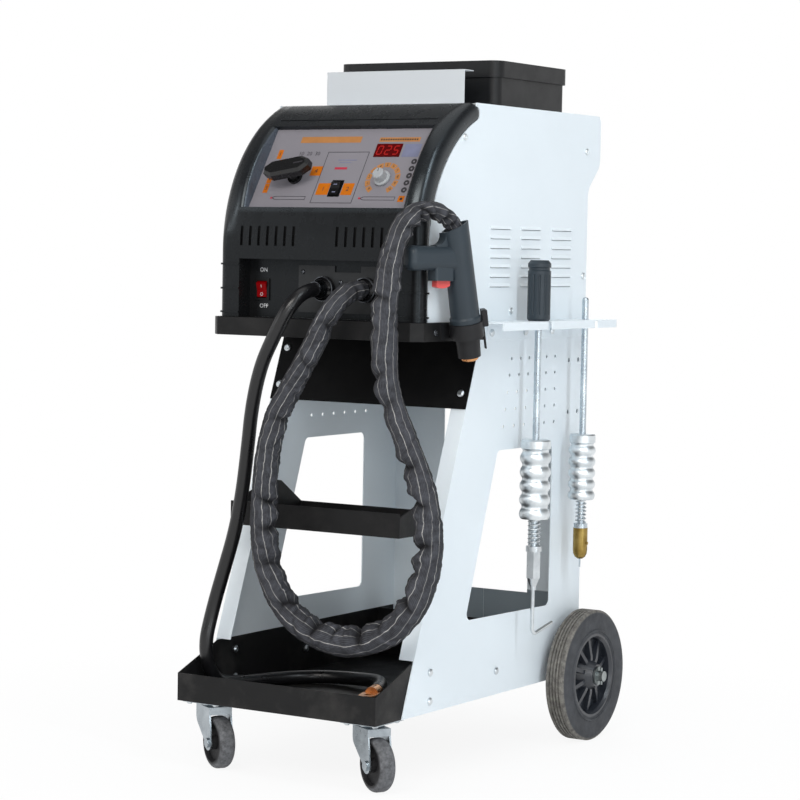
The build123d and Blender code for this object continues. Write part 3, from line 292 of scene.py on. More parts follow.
def metal(name, low, high, rough, cloud=60.0, rings=0.0):
    """Plated or bare metal, clouded, with fine turning rings where it was turned."""
    made = Maker(name)
    patches = made.ramp(made.noise(cloud, 6.0, 0.6), 0.3, 0.7)
    made.colour(made.mix(patches, linear(*low), linear(*high)))
    made.put(made.shader, "Metallic", 1.0)
    made.rough(170.0, rough - 0.05, rough + 0.09, 4.0)
    made.bump(made.noise(1000.0, 3.0), 0.012, 0.0004)
    if rings:
        made.bump(made.wave("Z", rings, 0.3), 0.12, 0.0003)
    return made.material


def worn_tread(name, centre, axis, start, end, wall, tread):
    """Wheel rubber that is paler and scuffed where it rolls."""
    made = Maker(name)
    wall = linear(*wall)
    tread = linear(*tread)
    cloud = made.ramp(made.noise(30.0, 6.0, 0.65), 0.42, 0.72, 0.0, 0.6)
    dusty = made.mix(cloud, wall, shade(wall, 1.9))
    scuff = made.ramp(made.noise(140.0, 5.0, 0.7), 0.35, 0.7)
    worn = made.mix(scuff, shade(tread, 0.5), shade(tread, 1.5))
    rim = made.ramp(made.around(centre, axis), start, end)
    made.colour(made.mix(rim, dusty, worn))
    made.rough(80.0, 0.57, 0.75, 4.0)
    made.shine(0.4)
    made.bump(made.noise(700.0, 4.0), 0.3, 0.0008)
    return made.material


def gloss_plastic(name, colour, rough, shine=0.5, glow=0.0):
    made = Maker(name)
    colour = linear(*colour)
    drift = made.ramp(made.noise(60.0, 3.0), 0.3, 0.7)
    made.colour(made.mix(drift, shade(colour, 0.92), shade(colour, 1.08)))
    made.rough(160.0, rough - 0.03, rough + 0.05)
    made.shine(shine)
    made.bump(made.noise(600.0, 2.0), 0.05, 0.0004)
    if glow:
        made.put(made.shader, "Emission Color", colour)
        made.put(made.shader, "Emission Strength", glow)
    return made.material


def laminations():
    made = Maker("laminations")
    lines = made.wave("Y", 320.0, 0.4)
    made.colour(made.mix(lines, linear(58, 58, 62), linear(92, 90, 88)))
    made.rough(60.0, 0.45, 0.6)
    made.bump(lines, 0.4, 0.0006)
    return made.material


def wound_copper():
    made = Maker("wound_copper")
    lines = made.wave("Z", 150.0)
    made.colour(made.mix(lines, linear(92, 48, 28), linear(176, 104, 66)))
    made.put(made.shader, "Metallic", 0.8)
    made.rough(90.0, 0.35, 0.5)
    made.bump(lines, 0.6, 0.001)
    return made.material


def solder_mask():
    made = Maker("solder_mask")
    spots = made.ramp(made.noise(160.0, 2.0), 0.56, 0.6)
    made.colour(made.mix(spots, linear(20, 92, 50), linear(150, 160, 140)))
    made.rough(80.0, 0.3, 0.45)
    made.bump(spots, 0.2, 0.0005)
    return made.material


# Sleeve fabric: stripes round it, threads in each cell, and rows of weave round it and in a metre
stripe_count = 10.0
threads_in_cell = 6.0
weave_round = 150
weave_in_metre = 1300


def striped_fabric():
    """Dark weave with pale pinstripes along its length, every second one fainter, with painted shade in its
    creases and gathers and toward its outline.
    """
    made = Maker("striped_fabric")
    flat = made.split(made.add("ShaderNodeUVMap", uv_map="UVMap").outputs["UV"])
    valley = made.add("ShaderNodeAttribute", attribute_name="valley").outputs["Fac"]
    sway = made.ramp(made.noise(38.0, 3.0), 0.25, 0.75, -0.13, 0.13)
    turns = made.math("ADD", made.product(flat["X"], stripe_count), sway)
    fray = made.ramp(made.noise(900.0, 3.0), 0.25, 0.75, 0.0, 0.03)
    line = made.ramp(made.math("SUBTRACT", made.from_middle(turns), fray), 0.016, 0.042, 1.0, 0.0)
    worn = made.ramp(made.noise(120.0, 4.0), 0.3, 0.7, 0.35, 0.8)
    odd = made.math("MODULO", made.math("FLOOR", turns), 2.0)
    stripe = made.product(line, worn, made.ramp(odd, 0.0, 1.0, 1.0, 0.55))
    cloud = made.ramp(made.noise(70.0, 6.0, 0.68), 0.32, 0.68)
    ground = made.mix(cloud, linear(27, 27, 30), linear(66, 67, 73))
    thread = made.from_middle(made.product(turns, threads_in_cell))
    ground = made.mix(made.ramp(thread, 0.1, 0.5, 0.0, 0.3), ground, linear(104, 106, 112))
    cloth = made.mix(stripe, ground, linear(190, 188, 185))
    # Painted shade: the cloth darkens in creases and gathers and toward its outline where it turns away
    edge = made.add("ShaderNodeLayerWeight").outputs["Facing"]
    creased = made.ramp(valley, 0.1, 0.8, 0.0, 0.88)
    shadow = made.math("MAXIMUM", creased, made.ramp(edge, 0.3, 0.9, 0.0, 0.75))
    made.colour(made.mix(shadow, cloth, linear(16, 16, 18)))
    made.rough(400.0, 0.7, 0.9)
    made.shine(0.25)
    warp = made.math("SINE", made.product(flat["X"], 2 * math.pi * weave_round))
    weft = made.math("SINE", made.product(flat["Y"], 2 * math.pi * weave_in_metre))
    made.bump(made.math("ADD", warp, weft), 0.25, 0.0003)
    made.bump(made.noise(260.0, 4.0), 0.3, 0.0014)
    return made.material


# Wheels, in metres: centres, axes, and the radii between which wall turns to tread
axle_centre = (0, 0.225, 0.1)
axle_way = (1, 0, 0)
tyre_shoulder = (0.0955, 0.0975)
caster_x = 0.135
caster_y = -0.281
caster_z = 0.0375
caster_trail = 0.020
caster_turn = math.radians(31)
roller_axis = (math.sin(caster_turn), math.cos(caster_turn), 0)
roller_shoulder = (0.0295, 0.033)


def caster_tread(name, side):
    x = side * caster_x + caster_trail * math.cos(caster_turn)
    y = caster_y - caster_trail * math.sin(caster_turn)
    return worn_tread(name, (x, y, caster_z), roller_axis, *roller_shoulder, (24, 24, 26), (98, 99, 102))


# Paint and mouldings: colour, roughness, shine, grain, grain size, colour drift and dust
coatings = {
    "black_powder": ((20, 20, 21), 0.5, 0.22, 0.3, 0.0012, 0.1, 0.16),
    "dusty_powder": ((19, 19, 20), 0.48, 0.24, 0.3, 0.0012, 0.1, 0.42),
    # The apron's black is darker than the shelf's as painted shade under the shelf; the sheet behind the
    # vents wears it too
    "painted_shade_black": ((10, 10, 11), 0.55, 0.12, 0.3, 0.0012, 0.1, 0.05),
    "tray_moulding": ((17, 18, 20), 0.36, 0.3, 0.3, 0.0014),
    "gun_moulding": ((42, 51, 58), 0.42, 0.35, 0.25, 0.0009),
    "gun_black": ((26, 26, 28), 0.45, 0.3, 0.25, 0.0009),
    "plain_black": ((13, 13, 14), 0.36, 0.2, 0.15, 0.0010),
    "plate_black": ((37, 39, 41), 0.4, 0.3, 0.1, 0.0012),
    "knob_black": ((15, 15, 16), 0.24, 0.5, 0.1, 0.0010),
    "panel_print": ((125, 122, 128), 0.38, 0.2, 0.05, 0.0015, 0.02),
    "cable_rubber": ((17, 17, 19), 0.3, 0.5, 0.02, 0.0016, 0.1),
    "hub_black": ((41, 45, 52), 0.32, 0.7, 0.2, 0.001, 0.1),
}

# Metals: darker and lighter colour, roughness, scale of the clouding and of the turning rings
metals = {
    "zinc_plate": ((186, 192, 196), (222, 227, 230), 0.32, 38.0),
    "dull_zinc": ((144, 152, 158), (184, 192, 197), 0.3, 30.0),
    "turned_zinc": ((204, 211, 215), (240, 245, 247), 0.36, 45.0, 420.0),
    "rod_zinc": ((164, 174, 182), (208, 218, 224), 0.27, 45.0, 420.0),
    "copper": ((178, 118, 72), (230, 172, 118), 0.28),
    "brass": ((132, 108, 54), (178, 154, 92), 0.34),
    "worn_steel": ((112, 118, 119), (164, 170, 170), 0.36),
    "gland_metal": ((62, 64, 68), (104, 107, 112), 0.24),
    "alloy": ((170, 172, 176), (200, 202, 205), 0.34),
}

# Smooth plastics and inks: colour, roughness, shine and glow
plastics = {
    "gloss_black": ((16, 16, 18), 0.18, 0.6),
    "red_gloss": ((132, 2, 7), 0.3, 0.07),
    "trigger_red": ((204, 76, 74), 0.4),
    "display_red": ((80, 7, 8), 0.3, 0.06),
    "digit_red": ((150, 26, 24), 0.4, 0.1, 0.12),
    "knob_grey": ((152, 155, 158), 0.4),
    "print_orange": ((166, 114, 66), 0.42, 0.2),
    "sign_orange": ((182, 98, 12), 0.42, 0.15),
    "print_dark": ((48, 46, 50), 0.42, 0.3),
    "print_lilac": ((112, 115, 138), 0.42, 0.2),
    "print_red": ((168, 46, 66), 0.42, 0.3),
    "print_white": ((226, 228, 230), 0.42, 0.3),
}

finishes = {
    "white_paint": panel_paint(),
    "top_paint": top_paint(),
    "black_moulding": polished_moulding(),
    "wound_copper": wound_copper(),
    "laminations": laminations(),
    "solder_mask": solder_mask(),
    "striped_fabric": striped_fabric(),
    "tyre": worn_tread("tyre", axle_centre, axle_way, *tyre_shoulder, (56, 58, 62), (112, 109, 104)),
    "caster_tread_left": caster_tread("caster_tread_left", -1),
    "caster_tread_right": caster_tread("caster_tread_right", 1),
}
for name, values in coatings.items():
    finishes[name] = coated(name, *values).material
for name, values in metals.items():
    finishes[name] = metal(name, *values)
for name, values in plastics.items():
    finishes[name] = gloss_plastic(name, *values)

# The nodes that wear each finish; all others are zinc plated
wearers = {
    "white_paint": "side_panel_left side_panel_right rear_cover tool_bracket",
    "top_paint": "top_cover",
    "black_powder": "shelf middle_shelf",
    "painted_shade_black": "apron",
    "dusty_powder": "base_tray",
    "black_moulding": "front_bezel",
    "tray_moulding": "top_tool_tray",
    "plate_black": "gland_plate",
    "gloss_black": "cable_glands",
    "panel_print": "control_panel",
    "display_red": "display_window",
    "knob_black": "selector_knob",
    "knob_grey": "level_knob",
    "red_gloss": "power_rocker",
    "plain_black": "mains_inlet selector_switch level_potentiometer mode_switch_body mode_rocker "
    "power_switch_body",
    "gun_moulding": "gun_body hook_handle",
    "gun_black": "gun_nozzle gun_holder",
    "trigger_red": "gun_trigger",
    "copper": "gun_tip ground_lug busbars",
    "wound_copper": "transformer_windings",
    "laminations": "transformer_core",
    "alloy": "thyristor_sink",
    "solder_mask": "control_board",
    "brass": "stud_collet",
    "rod_zinc": "hook_rod stud_rod",
    "turned_zinc": "hook_weight stud_weight",
    "worn_steel": "rear_axle axle_fasteners",
    "tyre": "wheel_tyre_left wheel_tyre_right",
    "hub_black": "wheel_hub_left wheel_hub_right",
    "caster_tread_left": "caster_wheel_left",
    "caster_tread_right": "caster_wheel_right",
    "dull_zinc": "caster_fork_left caster_fork_right caster_plates",
}


def dress_nodes():
    worn = {name: finish for finish, names in wearers.items() for name in names.split()}
    for name, item in nodes.items():
        item.data.materials.clear()
        item.data.materials.append(finishes[worn.get(name, "zinc_plate")])


# Folded sheets have slightly rounded edges
folded_sheets = ("shelf", "apron", "middle_shelf", "base_tray", "tool_bracket", "top_cover")
weld_gap = 1e-5
edge_width = 0.0007
edge_angle = math.radians(40)


def round_edges():
    for name in folded_sheets:
        weld = nodes[name].modifiers.new("weld", "WELD")
        weld.merge_threshold = weld_gap
        edges = nodes[name].modifiers.new("edges", "BEVEL")
        edges.width = edge_width
        edges.segments = 2
        edges.limit_method = "ANGLE"
        edges.angle_limit = edge_angle


def metres(rows):
    return [tuple(value / 1000 for value in row) for row in rows]


# Cord routes, in millimetres: the solids' corner points, some moved or added to follow the photograph
gland_front = -222
gland_height = 689
torch_gland_x = 68
ground_gland_x = -3
hang = -283
sleeve_corners = [
    (torch_gland_x, gland_front, gland_height), (torch_gland_x, gland_front - 32, gland_height),
    (torch_gland_x - 10, hang - 2, 664), (38, hang - 5, 622), (4, hang, 570), (-40, hang, 500),
    (-51, hang - 2, 400), (-50, hang, 310), (-16, hang, 238), (50, hang - 2, 201), (126, hang, 201),
    (193, hang, 240), (229, hang - 2, 322), (218.5, hang, 410), (182, hang, 490),
    (150, hang - 2, 560), (144.5, hang, 645), (149, hang - 3, 700), (157, hang - 1, 746),
    (168, hang + 7, 782), (180, hang + 23, 800), (191, hang + 44, 803), (199, hang + 66, 795.5),
]
cable_corners = [
    (ground_gland_x, gland_front, gland_height), (ground_gland_x, gland_front - 34, gland_height),
    (ground_gland_x - 11, -284, 664), (-36, -287, 622), (-62, -281, 580), (-79, -277, 522),
    (-89, -272, 460), (-99, -269, 398), (-113, -266, 340), (-132, -266, 282), (-149, -269, 224),
    (-152, -285, 168), (-150, -262, 118), (-146, -205, 109.2), (-118, -130, 109.2),
    (-72, -84, 109.2), (-10, -86, 112), (40, -118, 119), (79, -168, 124), (98, -213, 124),
]

# The gun's barrel and the cords' radii, in metres
barrel_foot = Vector((0.204, -0.161, 0.635))
barrel_lean = math.radians(14.5)
barrel_way = Vector((0, -math.sin(barrel_lean), math.cos(barrel_lean)))
mouth = barrel_foot + barrel_way * 0.150
sleeve_radius = 0.0195
cable_radius = 0.010
sleeve_route = metres(sleeve_corners) + [tuple(mouth), tuple(mouth - barrel_way * 0.010)]
cable_route = metres(cable_corners)


def route_curve(name, route, thick):
    data = bpy.data.curves.new(name, "CURVE")
    data.dimensions = "3D"
    data.resolution_u = 16
    data.bevel_depth = thick
    data.bevel_resolution = 8
    data.use_fill_caps = thick > 0
    spline = data.splines.new("NURBS")
    spline.points.add(len(route) - 1)
    for point, place in zip(spline.points, route):
        point.co = (*place, 1.0)
    spline.order_u = 3
    spline.use_endpoint_u = True
    return add_object(name, data)


def route_points(route, step):
    """Points a step apart along the route's smooth line, and the line's length."""
    guide = route_curve("guide", route, 0)
    line = [vertex.co.copy() for vertex in mesh_from(guide).vertices]
    bpy.data.objects.remove(guide)
    reach = [0.0]
    for first, second in zip(line, line[1:]):
        reach.append(reach[-1] + (second - first).length)
    count = max(2, round(reach[-1] / step))
    points = []
    index = 0
    for number in range(count + 1):
        target = reach[-1] * number / count
        while index < len(reach) - 2 and reach[index + 1] < target:
            index += 1
        span = reach[index + 1] - reach[index]
        share = (target - reach[index]) / span if span > 0 else 0
        points.append(line[index].lerp(line[index + 1], share))
    return points, reach[-1]


def frames_along(points):
    """Tangent and a steady side way at each point."""
    ways = []
    for number in range(len(points)):
        before = points[max(0, number - 1)]
        after = points[min(len(points) - 1, number + 1)]
        ways.append((after - before).normalized())
    side = Vector((0, 1, 0)).cross(ways[0])
    if side.length < 0.1:
        side = Vector((1, 0, 0))
    sides = []
    for way in ways:
        side = (side - way * side.dot(way)).normalized()
        sides.append(side.copy())
    return ways, sides


def smooth_step(value, low, high):
    share = min(1.0, max(0.0, (value - low) / (high - low)))
    return share * share * (3 - 2 * share)


# The sleeve's cloth, in metres
sleeve_sides = 80
sleeve_step = 0.0022
cloth_inset = 0.0006
least_radius = 0.006
lump_long = 0.045
pleat_long = 0.0095
pleat_deep = 0.0024
crease_reach = 0.045
full_shade_depth = 0.0075
ruffle_spacing = 0.011
deep_cover = 0.05
ruffle_cover = 0.5
gathered_long = 0.02
gathered_radius = 0.0130
gathered_lobe = 0.0016
narrow_start = 0.022
arch_from = 0.10
arch_full = 0.05
arch_heights = (0.66, 0.74)
loop_centre = Vector((0.088, -0.283, 0.40))
arch_centre = Vector((0.184, -0.238, 0.752))

# Thickness along the lead, at places given by x and z in millimetres
sleeve_girth = [
    (68, 689, 0.84), (38, 622, 0.88), (-18, 535, 0.90), (-49, 400, 1.00), (-46, 310, 1.06),
    (10, 222, 1.08), (88, 201, 1.16), (165, 220, 1.10), (213, 282, 1.06), (224, 366, 1.02),
    (200, 450, 0.95), (166, 525, 0.88), (147, 602, 0.99), (147, 672, 1.00), (153, 723, 0.95),
    (165, 765, 0.88), (185, 801, 0.76), (201, 788, 0.70),
]

# Deep folds, in millimetres: x and z, share of the way from the inner side to the front, depth, width
deep_folds = [
    (52, 640, 0.5, 5.5, 6), (14, 591, 0.6, 5, 5.5), (-22, 505, 0.5, 4.5, 6), (-46, 390, 0.6, 7, 5),
    (-40, 353, 0.3, 6.5, 6), (-36, 300, 0.4, 6, 7), (-4, 244, 0.3, 8.5, 6.5),
    (47, 215, 0.4, 9, 6.5), (82, 205, 0.1, 6, 5), (122, 208, 0.4, 10, 7), (158, 228, 0.1, 6, 6),
    (196, 272, 0.4, 9.5, 7), (209, 310, 0.1, 5.5, 5), (216, 343, 0.5, 9.5, 6.5),
    (212, 405, 0.5, 8.5, 7), (200, 457, 0.5, 8, 6.5), (160, 535, 0.6, 5, 8),
    (139, 572, 0.4, 6.5, 6), (145, 640, 0.1, 4, 6), (148, 682, 0.5, 6.5, 5.5),
    (172, 785, 0.2, 6, 5), (179, 796, 0.5, 6.5, 4), (185, 801, 0.8, 6, 4), (190, 802, 0.3, 7, 4.5),
    (196, 797, 0.7, 6, 4), (200, 790, 0.4, 6, 4),
]


def nearest(points, x, z):
    """Number of the point nearest to a place given in millimetres."""
    x /= 1000
    z /= 1000
    return min(range(len(points)), key=lambda n: (points[n].x - x) ** 2 + (points[n].z - z) ** 2)


def girth_along(points):
    """Thickness at every point, eased from one named place to the next."""
    marks = [(0, sleeve_girth[0][2])]
    marks += [(nearest(points, x, z), girth) for x, z, girth in sleeve_girth[1:-1]]
    marks.append((len(points) - 1, sleeve_girth[-1][2]))
    girths = []
    for (first, low), (last, high) in zip(marks, marks[1:]):
        for number in range(first, last):
            girths.append(low + (high - low) * smooth_step(number, first, last))
    girths.append(marks[-1][1])
    return girths


def bend_at(points, number):
    """How strongly the lead bends here, from 0 to 1."""
    span = 14
    full_bend = 0.005
    low = points[max(0, number - span)]
    high = points[min(len(points) - 1, number + span)]
    return min(1.0, ((low + high) / 2 - points[number]).length / full_bend)


def plan_creases(points, length):
    """Deep folds, then small ruffles in between: place, way round, slant, depth, width and reach."""
    creases = []
    for x, z, share, deep, wide in deep_folds:
        place = nearest(points, x, z) * length / (len(points) - 1)
        creases.append((place, share, draw.uniform(-0.9, 0.9), deep / 1000, wide / 1000, deep_cover))
    for number in range(round(length / ruffle_spacing)):
        place = draw.uniform(0.02, length - 0.01)
        share = draw.uniform(-0.4, 1.7)
        deep = draw.uniform(0.0007, 0.0019)
        creases.append((place, share, draw.uniform(-2, 2), deep, draw.uniform(0.0022, 0.0042), ruffle_cover))
    return creases


def fold(gap, wide):
    """A sharp valley with a swelling on each side."""
    return math.exp(-((gap / wide) ** 1.25)) - 0.45 * math.exp(-(((gap - 2.2 * wide) / (1.2 * wide)) ** 2))


def angle_of(way, side, other):
    return math.atan2(way.dot(other), way.dot(side))


def way_round(start, end):
    return (end - start + math.pi) % (2 * math.pi) - math.pi


def lumps(angle, here):
    """Soft unevenness of the cloth."""
    spot = Vector((math.cos(angle), math.sin(angle), here / lump_long))
    return 0.0014 * noise.noise(spot) + 0.0008 * noise.noise(spot * 2.1)


def pleats(angle, here):
    """Fine gathers, from 0 to 1."""
    spot = Vector((0.9 * math.cos(angle), 0.9 * math.sin(angle), here / pleat_long))
    return max(0.0, 1 - 3.2 * abs(noise.noise(spot)))


def press_creases(radius, dark, creases, here, angle, inner, front):
    """Radius and painted shade once the creases near this place are pressed in."""
    for centre, share, tilt, deep, wide, reach in creases:
        turn = angle - inner - share * front
        cover = max(0.0, (math.cos(turn) - reach) / (1 - reach)) ** 0.8
        wander = 0.010 * tilt * math.sin(turn) + 0.0015 * math.sin(3 * angle + 9 * tilt)
        gap = abs(here - centre - wander)
        radius -= deep * cover * fold(gap, wide)
        dark += cover * deep / full_shade_depth * math.exp(-gap / (0.75 * wide))
    return radius, dark


def stripe_drift(along):
    """Slow twist of the stripes round the lead."""
    return 0.14 * noise.noise(Vector((0.3, 0.7, along / 0.2)))


def join_rings(mesh, rings, step_long, flat):
    """Skin over the rings, closed at both ends, with its flat layout in turns and metres."""
    for number, (here, there) in enumerate(zip(rings, rings[1:])):
        drift = [stripe_drift((number + row) * step_long) for row in (0, 1)]
        for column, face in enumerate(join_rows(mesh, here, there)):
            spots = ((column, 0), (column + 1, 0), (column + 1, 1), (column, 1))
            for loop, (turn, row) in zip(face.loops, spots):
                loop[flat].uv = (turn / sleeve_sides + drift[row], (number + row) * step_long)
    mesh.faces.new(list(reversed(rings[0])))
    mesh.faces.new(rings[-1])


def sleeve_mesh(points, length):
    ways, sides = frames_along(points)
    step_long = length / (len(points) - 1)
    creases = plan_creases(points, length)
    girths = girth_along(points)
    mesh = bmesh.new()
    flat = mesh.loops.layers.uv.new("UVMap")
    valley = mesh.verts.layers.float.new("valley")
    rings = []
    for number, point in enumerate(points):
        side = sides[number]
        other = ways[number].cross(side)
        high = smooth_step(point.z, *arch_heights)
        inner = angle_of(loop_centre.lerp(arch_centre, high) - point, side, other)
        front = way_round(inner, angle_of(camera_place - point, side, other))
        here = number * step_long
        arch = high * smooth_step(here, length - arch_from, length - arch_full)
        bend = max(bend_at(points, number), arch)
        gather = smooth_step(length - here, 0.0, gathered_long)
        start = smooth_step(here, 0.0, narrow_start)
        near = [crease for crease in creases if abs(here - crease[0]) < crease_reach]
        ring = []
        for column in range(sleeve_sides):
            angle = 2 * math.pi * column / sleeve_sides
            inside = math.cos(angle - inner)
            pleat = pleats(angle, here) * (0.16 + 0.84 * bend * (0.3 + 0.7 * max(0.0, inside)))
            radius = (sleeve_radius - cloth_inset) * girths[number] + lumps(angle, here)
            radius -= pleat_deep * pleat
            radius, dark = press_creases(radius, 0.45 * pleat, near, here, angle, inner, front)
            radius *= 1.03 - 0.07 * inside**2
            radius *= 1 - 0.16 * arch * inside**2
            lobes = gathered_lobe * math.sin(7 * angle + 2 * math.sin(here / 0.02))
            radius = gather * radius + (1 - gather) * (gathered_radius + lobes)
            radius *= 0.8 + 0.2 * start
            away = side * math.cos(angle) + other * math.sin(angle)
            vertex = mesh.verts.new(point + away * max(radius, least_radius))
            # Painted shade from the gathers and creases, which the fabric darkens by
            vertex[valley] = min(1.0, dark)
            ring.append(vertex)
        rings.append(ring)
    join_rings(mesh, rings, step_long, flat)
    return mesh


def lay_cords():
    points, length = route_points(sleeve_route, sleeve_step)
    sleeve = piece("torch_lead", sleeve_mesh(points, length), None, "sleeve_fabric", "striped_fabric")
    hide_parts("torch_sleeve")
    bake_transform(sleeve)
    cable = route_curve("ground_lead", cable_route, cable_radius)
    cable.data.materials.append(finishes["cable_rubber"])
    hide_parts("ground_cable")
    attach(cable, "trolley")
    route_points(cable_route, 0.004)[1]


# Small pieces: closed forms built into one mesh for each purpose
sharp_angle = math.radians(42)


def piece(name, mesh, body, slot, *worn):
    bmesh.ops.recalc_face_normals(mesh, faces=mesh.faces)
    for face in mesh.faces:
        face.smooth = True
    data = bpy.data.meshes.new(name)
    mesh.to_mesh(data)
    mesh.free()
    data.set_sharp_from_angle(angle=sharp_angle)
    item = add_object(name, data)
    for finish in worn:
        data.materials.append(finishes[finish])
    if body:
        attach(item, body)
    return item


def facing(origin, right, up):
    """A frame in millimetres: right and up lie in the surface, the third way leaves it."""
    right = Vector(right)
    up = Vector(up)
    turn = Matrix((right, up, right.cross(up))).transposed().to_4x4()
    return Matrix.Translation(Vector(origin) / 1000) @ turn @ Matrix.Scale(0.001, 4)


# Faces that carry small pieces, in millimetres
x_way = (1, 0, 0)
y_way = (0, 1, 0)
z_way = (0, 0, 1)
cabinet_half = 170
shelf_half = 178
cover_height = 957
rear_y = 254
recess_y = -208
gland_plate_y = -210
panel_foot = (0, -218, 801.4)
panel_lean = math.radians(32.32)
panel_face = facing(panel_foot, x_way, (0, math.sin(panel_lean), math.cos(panel_lean)))
recess_face = facing((0, recess_y, 0), x_way, z_way)
gland_face = facing((0, gland_plate_y, 0), x_way, z_way)
right_face = facing((cabinet_half, 0, 0), y_way, z_way)
left_face = facing((-cabinet_half, 0, 0), (0, -1, 0), z_way)
rear_face = facing((0, rear_y, 0), (-1, 0, 0), z_way)
top_face = facing((0, 0, cover_height), x_way, y_way)
shelf_face = facing((shelf_half, 0, 0), y_way, z_way)


def join_rows(mesh, here, there, closed=True):
    """Faces between two rows of points; a closed row comes back to its start."""
    count = len(here)
    faces = []
    for number in range(count if closed else count - 1):
        after = (number + 1) % count
        faces.append(mesh.faces.new((here[number], here[after], there[after], there[number])))
    return faces


def ink(faces, paint):
    for face in faces:
        face.material_index = paint


def prism(mesh, corners, place, low, high, paint=0):
    bottom = [mesh.verts.new(place @ Vector((x, y, low))) for x, y in corners]
    top = [mesh.verts.new(place @ Vector((x, y, high))) for x, y in corners]
    faces = [mesh.faces.new(list(reversed(bottom))), mesh.faces.new(top)]
    ink(faces + join_rows(mesh, bottom, top), paint)


def bar(mesh, x0, x1, y0, y1, place, low, high, paint=0):
    prism(mesh, [(x0, y0), (x1, y0), (x1, y1), (x0, y1)], place, low, high, paint)


def band(mesh, outer, inner, place, low, high, closed, paint=0):
    """A strip between two lines of points, closed into a ring or with two ends."""
    rows = []
    for (x, y), (u, v) in zip(outer, inner):
        spots = ((x, y, low), (x, y, high), (u, v, high), (u, v, low))
        rows.append([mesh.verts.new(place @ Vector(spot)) for spot in spots])
    faces = []
    for here, there in zip(rows, rows[1:]):
        faces += join_rows(mesh, here, there)
    if closed:
        faces += join_rows(mesh, rows[-1], rows[0])
    else:
        faces.append(mesh.faces.new(list(reversed(rows[0]))))
        faces.append(mesh.faces.new(rows[-1]))
    ink(faces, paint)


def arc(centre, radius, start, end, count):
    points = []
    for number in range(count + 1):
        angle = math.radians(start + (end - start) * number / count)
        points.append((centre[0] + radius * math.cos(angle), centre[1] + radius * math.sin(angle)))
    return points


def ring(mesh, centre, outer, inner, place, low, high, paint=0):
    lines = [arc(centre, radius, 0, 345, 23) for radius in (outer, inner)]
    band(mesh, *lines, place, low, high, True, paint)


def outline(mesh, corners, thick, place, low, high, paint=0):
    middle = (sum(x for x, y in corners) / len(corners), sum(y for x, y in corners) / len(corners))
    inner = []
    for x, y in corners:
        inner.append((x - math.copysign(thick, x - middle[0]), y - math.copysign(thick, y - middle[1])))
    band(mesh, corners, inner, place, low, high, True, paint)


def words(mesh, text, size, x, y, place, low, high, paint=0):
    data = bpy.data.curves.new("words", "FONT")
    data.body = text
    data.size = size
    data.align_x = "CENTER"
    data.align_y = "CENTER"
    data.extrude = (high - low) / 2
    data.resolution_u = 3
    item = add_object("words", data)
    made = mesh_from(item)
    made.transform(place @ Matrix.Translation((x, y, (low + high) / 2)))
    start = len(mesh.faces)
    mesh.from_mesh(made)
    mesh.faces.ensure_lookup_table()
    ink(mesh.faces[start:], paint)
    bpy.data.objects.remove(item)
    bpy.data.meshes.remove(made)


def lathe(mesh, profile, place, columns=48, ribs=0.0):
    """A turned form round a bore; ribs make every second column stand out."""
    rows = []
    for radius, height in profile:
        row = []
        for column in range(columns):
            angle = 2 * math.pi * column / columns
            wide = radius + (ribs if column % 2 else 0.0)
            spot = Vector((wide * math.cos(angle), wide * math.sin(angle), height))
            row.append(mesh.verts.new(place @ spot))
        rows.append(row)
    for here, there in zip(rows, rows[1:] + rows[:1]):
        join_rows(mesh, here, there)


def edge_of(grid):
    """The outer points of a grid, in order round it."""
    width = len(grid) - 1
    height = len(grid[0]) - 1
    edge = [grid[n][0] for n in range(width)] + [grid[width][n] for n in range(height)]
    edge += [grid[width - n][height] for n in range(width)]
    return edge + [grid[0][height - n] for n in range(height)]


# Screw heads: points along the grid, and the cross recess as shares of the head
head_count = 16
recess_reach = 0.62
recess_half = 0.14
recess_deep = 0.42


def screw(mesh, place, x, y, radius, high, turn):
    """A round head with a cross recess, on a square grid drawn out to a disc."""
    place = place @ Matrix.Translation((x, y, 0)) @ Matrix.Rotation(turn, 4, "Z")
    steps = [2 * number / head_count - 1 for number in range(head_count + 1)]
    grid = []
    for u in steps:
        line = []
        for v in steps:
            a = u * math.sqrt(1 - v * v / 2)
            b = v * math.sqrt(1 - u * u / 2)
            away = min(1.0, math.hypot(a, b))
            height = high * (0.35 + 0.65 * math.sqrt(max(0.0, 1 - away**2.4)))
            if away < recess_reach and min(abs(u), abs(v)) < recess_half:
                height -= recess_deep * high
            line.append(mesh.verts.new(place @ Vector((a * radius, b * radius, height))))
        grid.append(line)
    for here, there in zip(grid, grid[1:]):
        join_rows(mesh, here, there, False)
    rim = edge_of(grid)
    back = place.inverted()
    lower = []
    for vertex in rim:
        local = back @ vertex.co
        lower.append(mesh.verts.new(place @ Vector((local.x, local.y, 0))))
    join_rows(mesh, rim, lower)
    mesh.faces.new(lower)


# Printed signs on the control panel, all plain numbers, bars and marks, in millimetres
ink_low = -0.1
ink_high = 0.02
over_high = 0.06
level_spot = (78.7, 52.5)
selector_spot = (-70.0, 54.0)
scale_start = 225
scale_step = 27
scale_half = 11.5
scale_radii = (28, 20)
scale_middle = 24
sign_inks = ("print_orange", "print_dark", "print_lilac", "print_red", "sign_orange")
orange, dark, lilac, red, bright = range(5)

# Numbered signs: middle, half width and number
signs = ((-113, 95, 4, "1"), (-115, 53, 4, "2"), (-115, 36, 4, "3"), (-39, 66, 9, "4"))

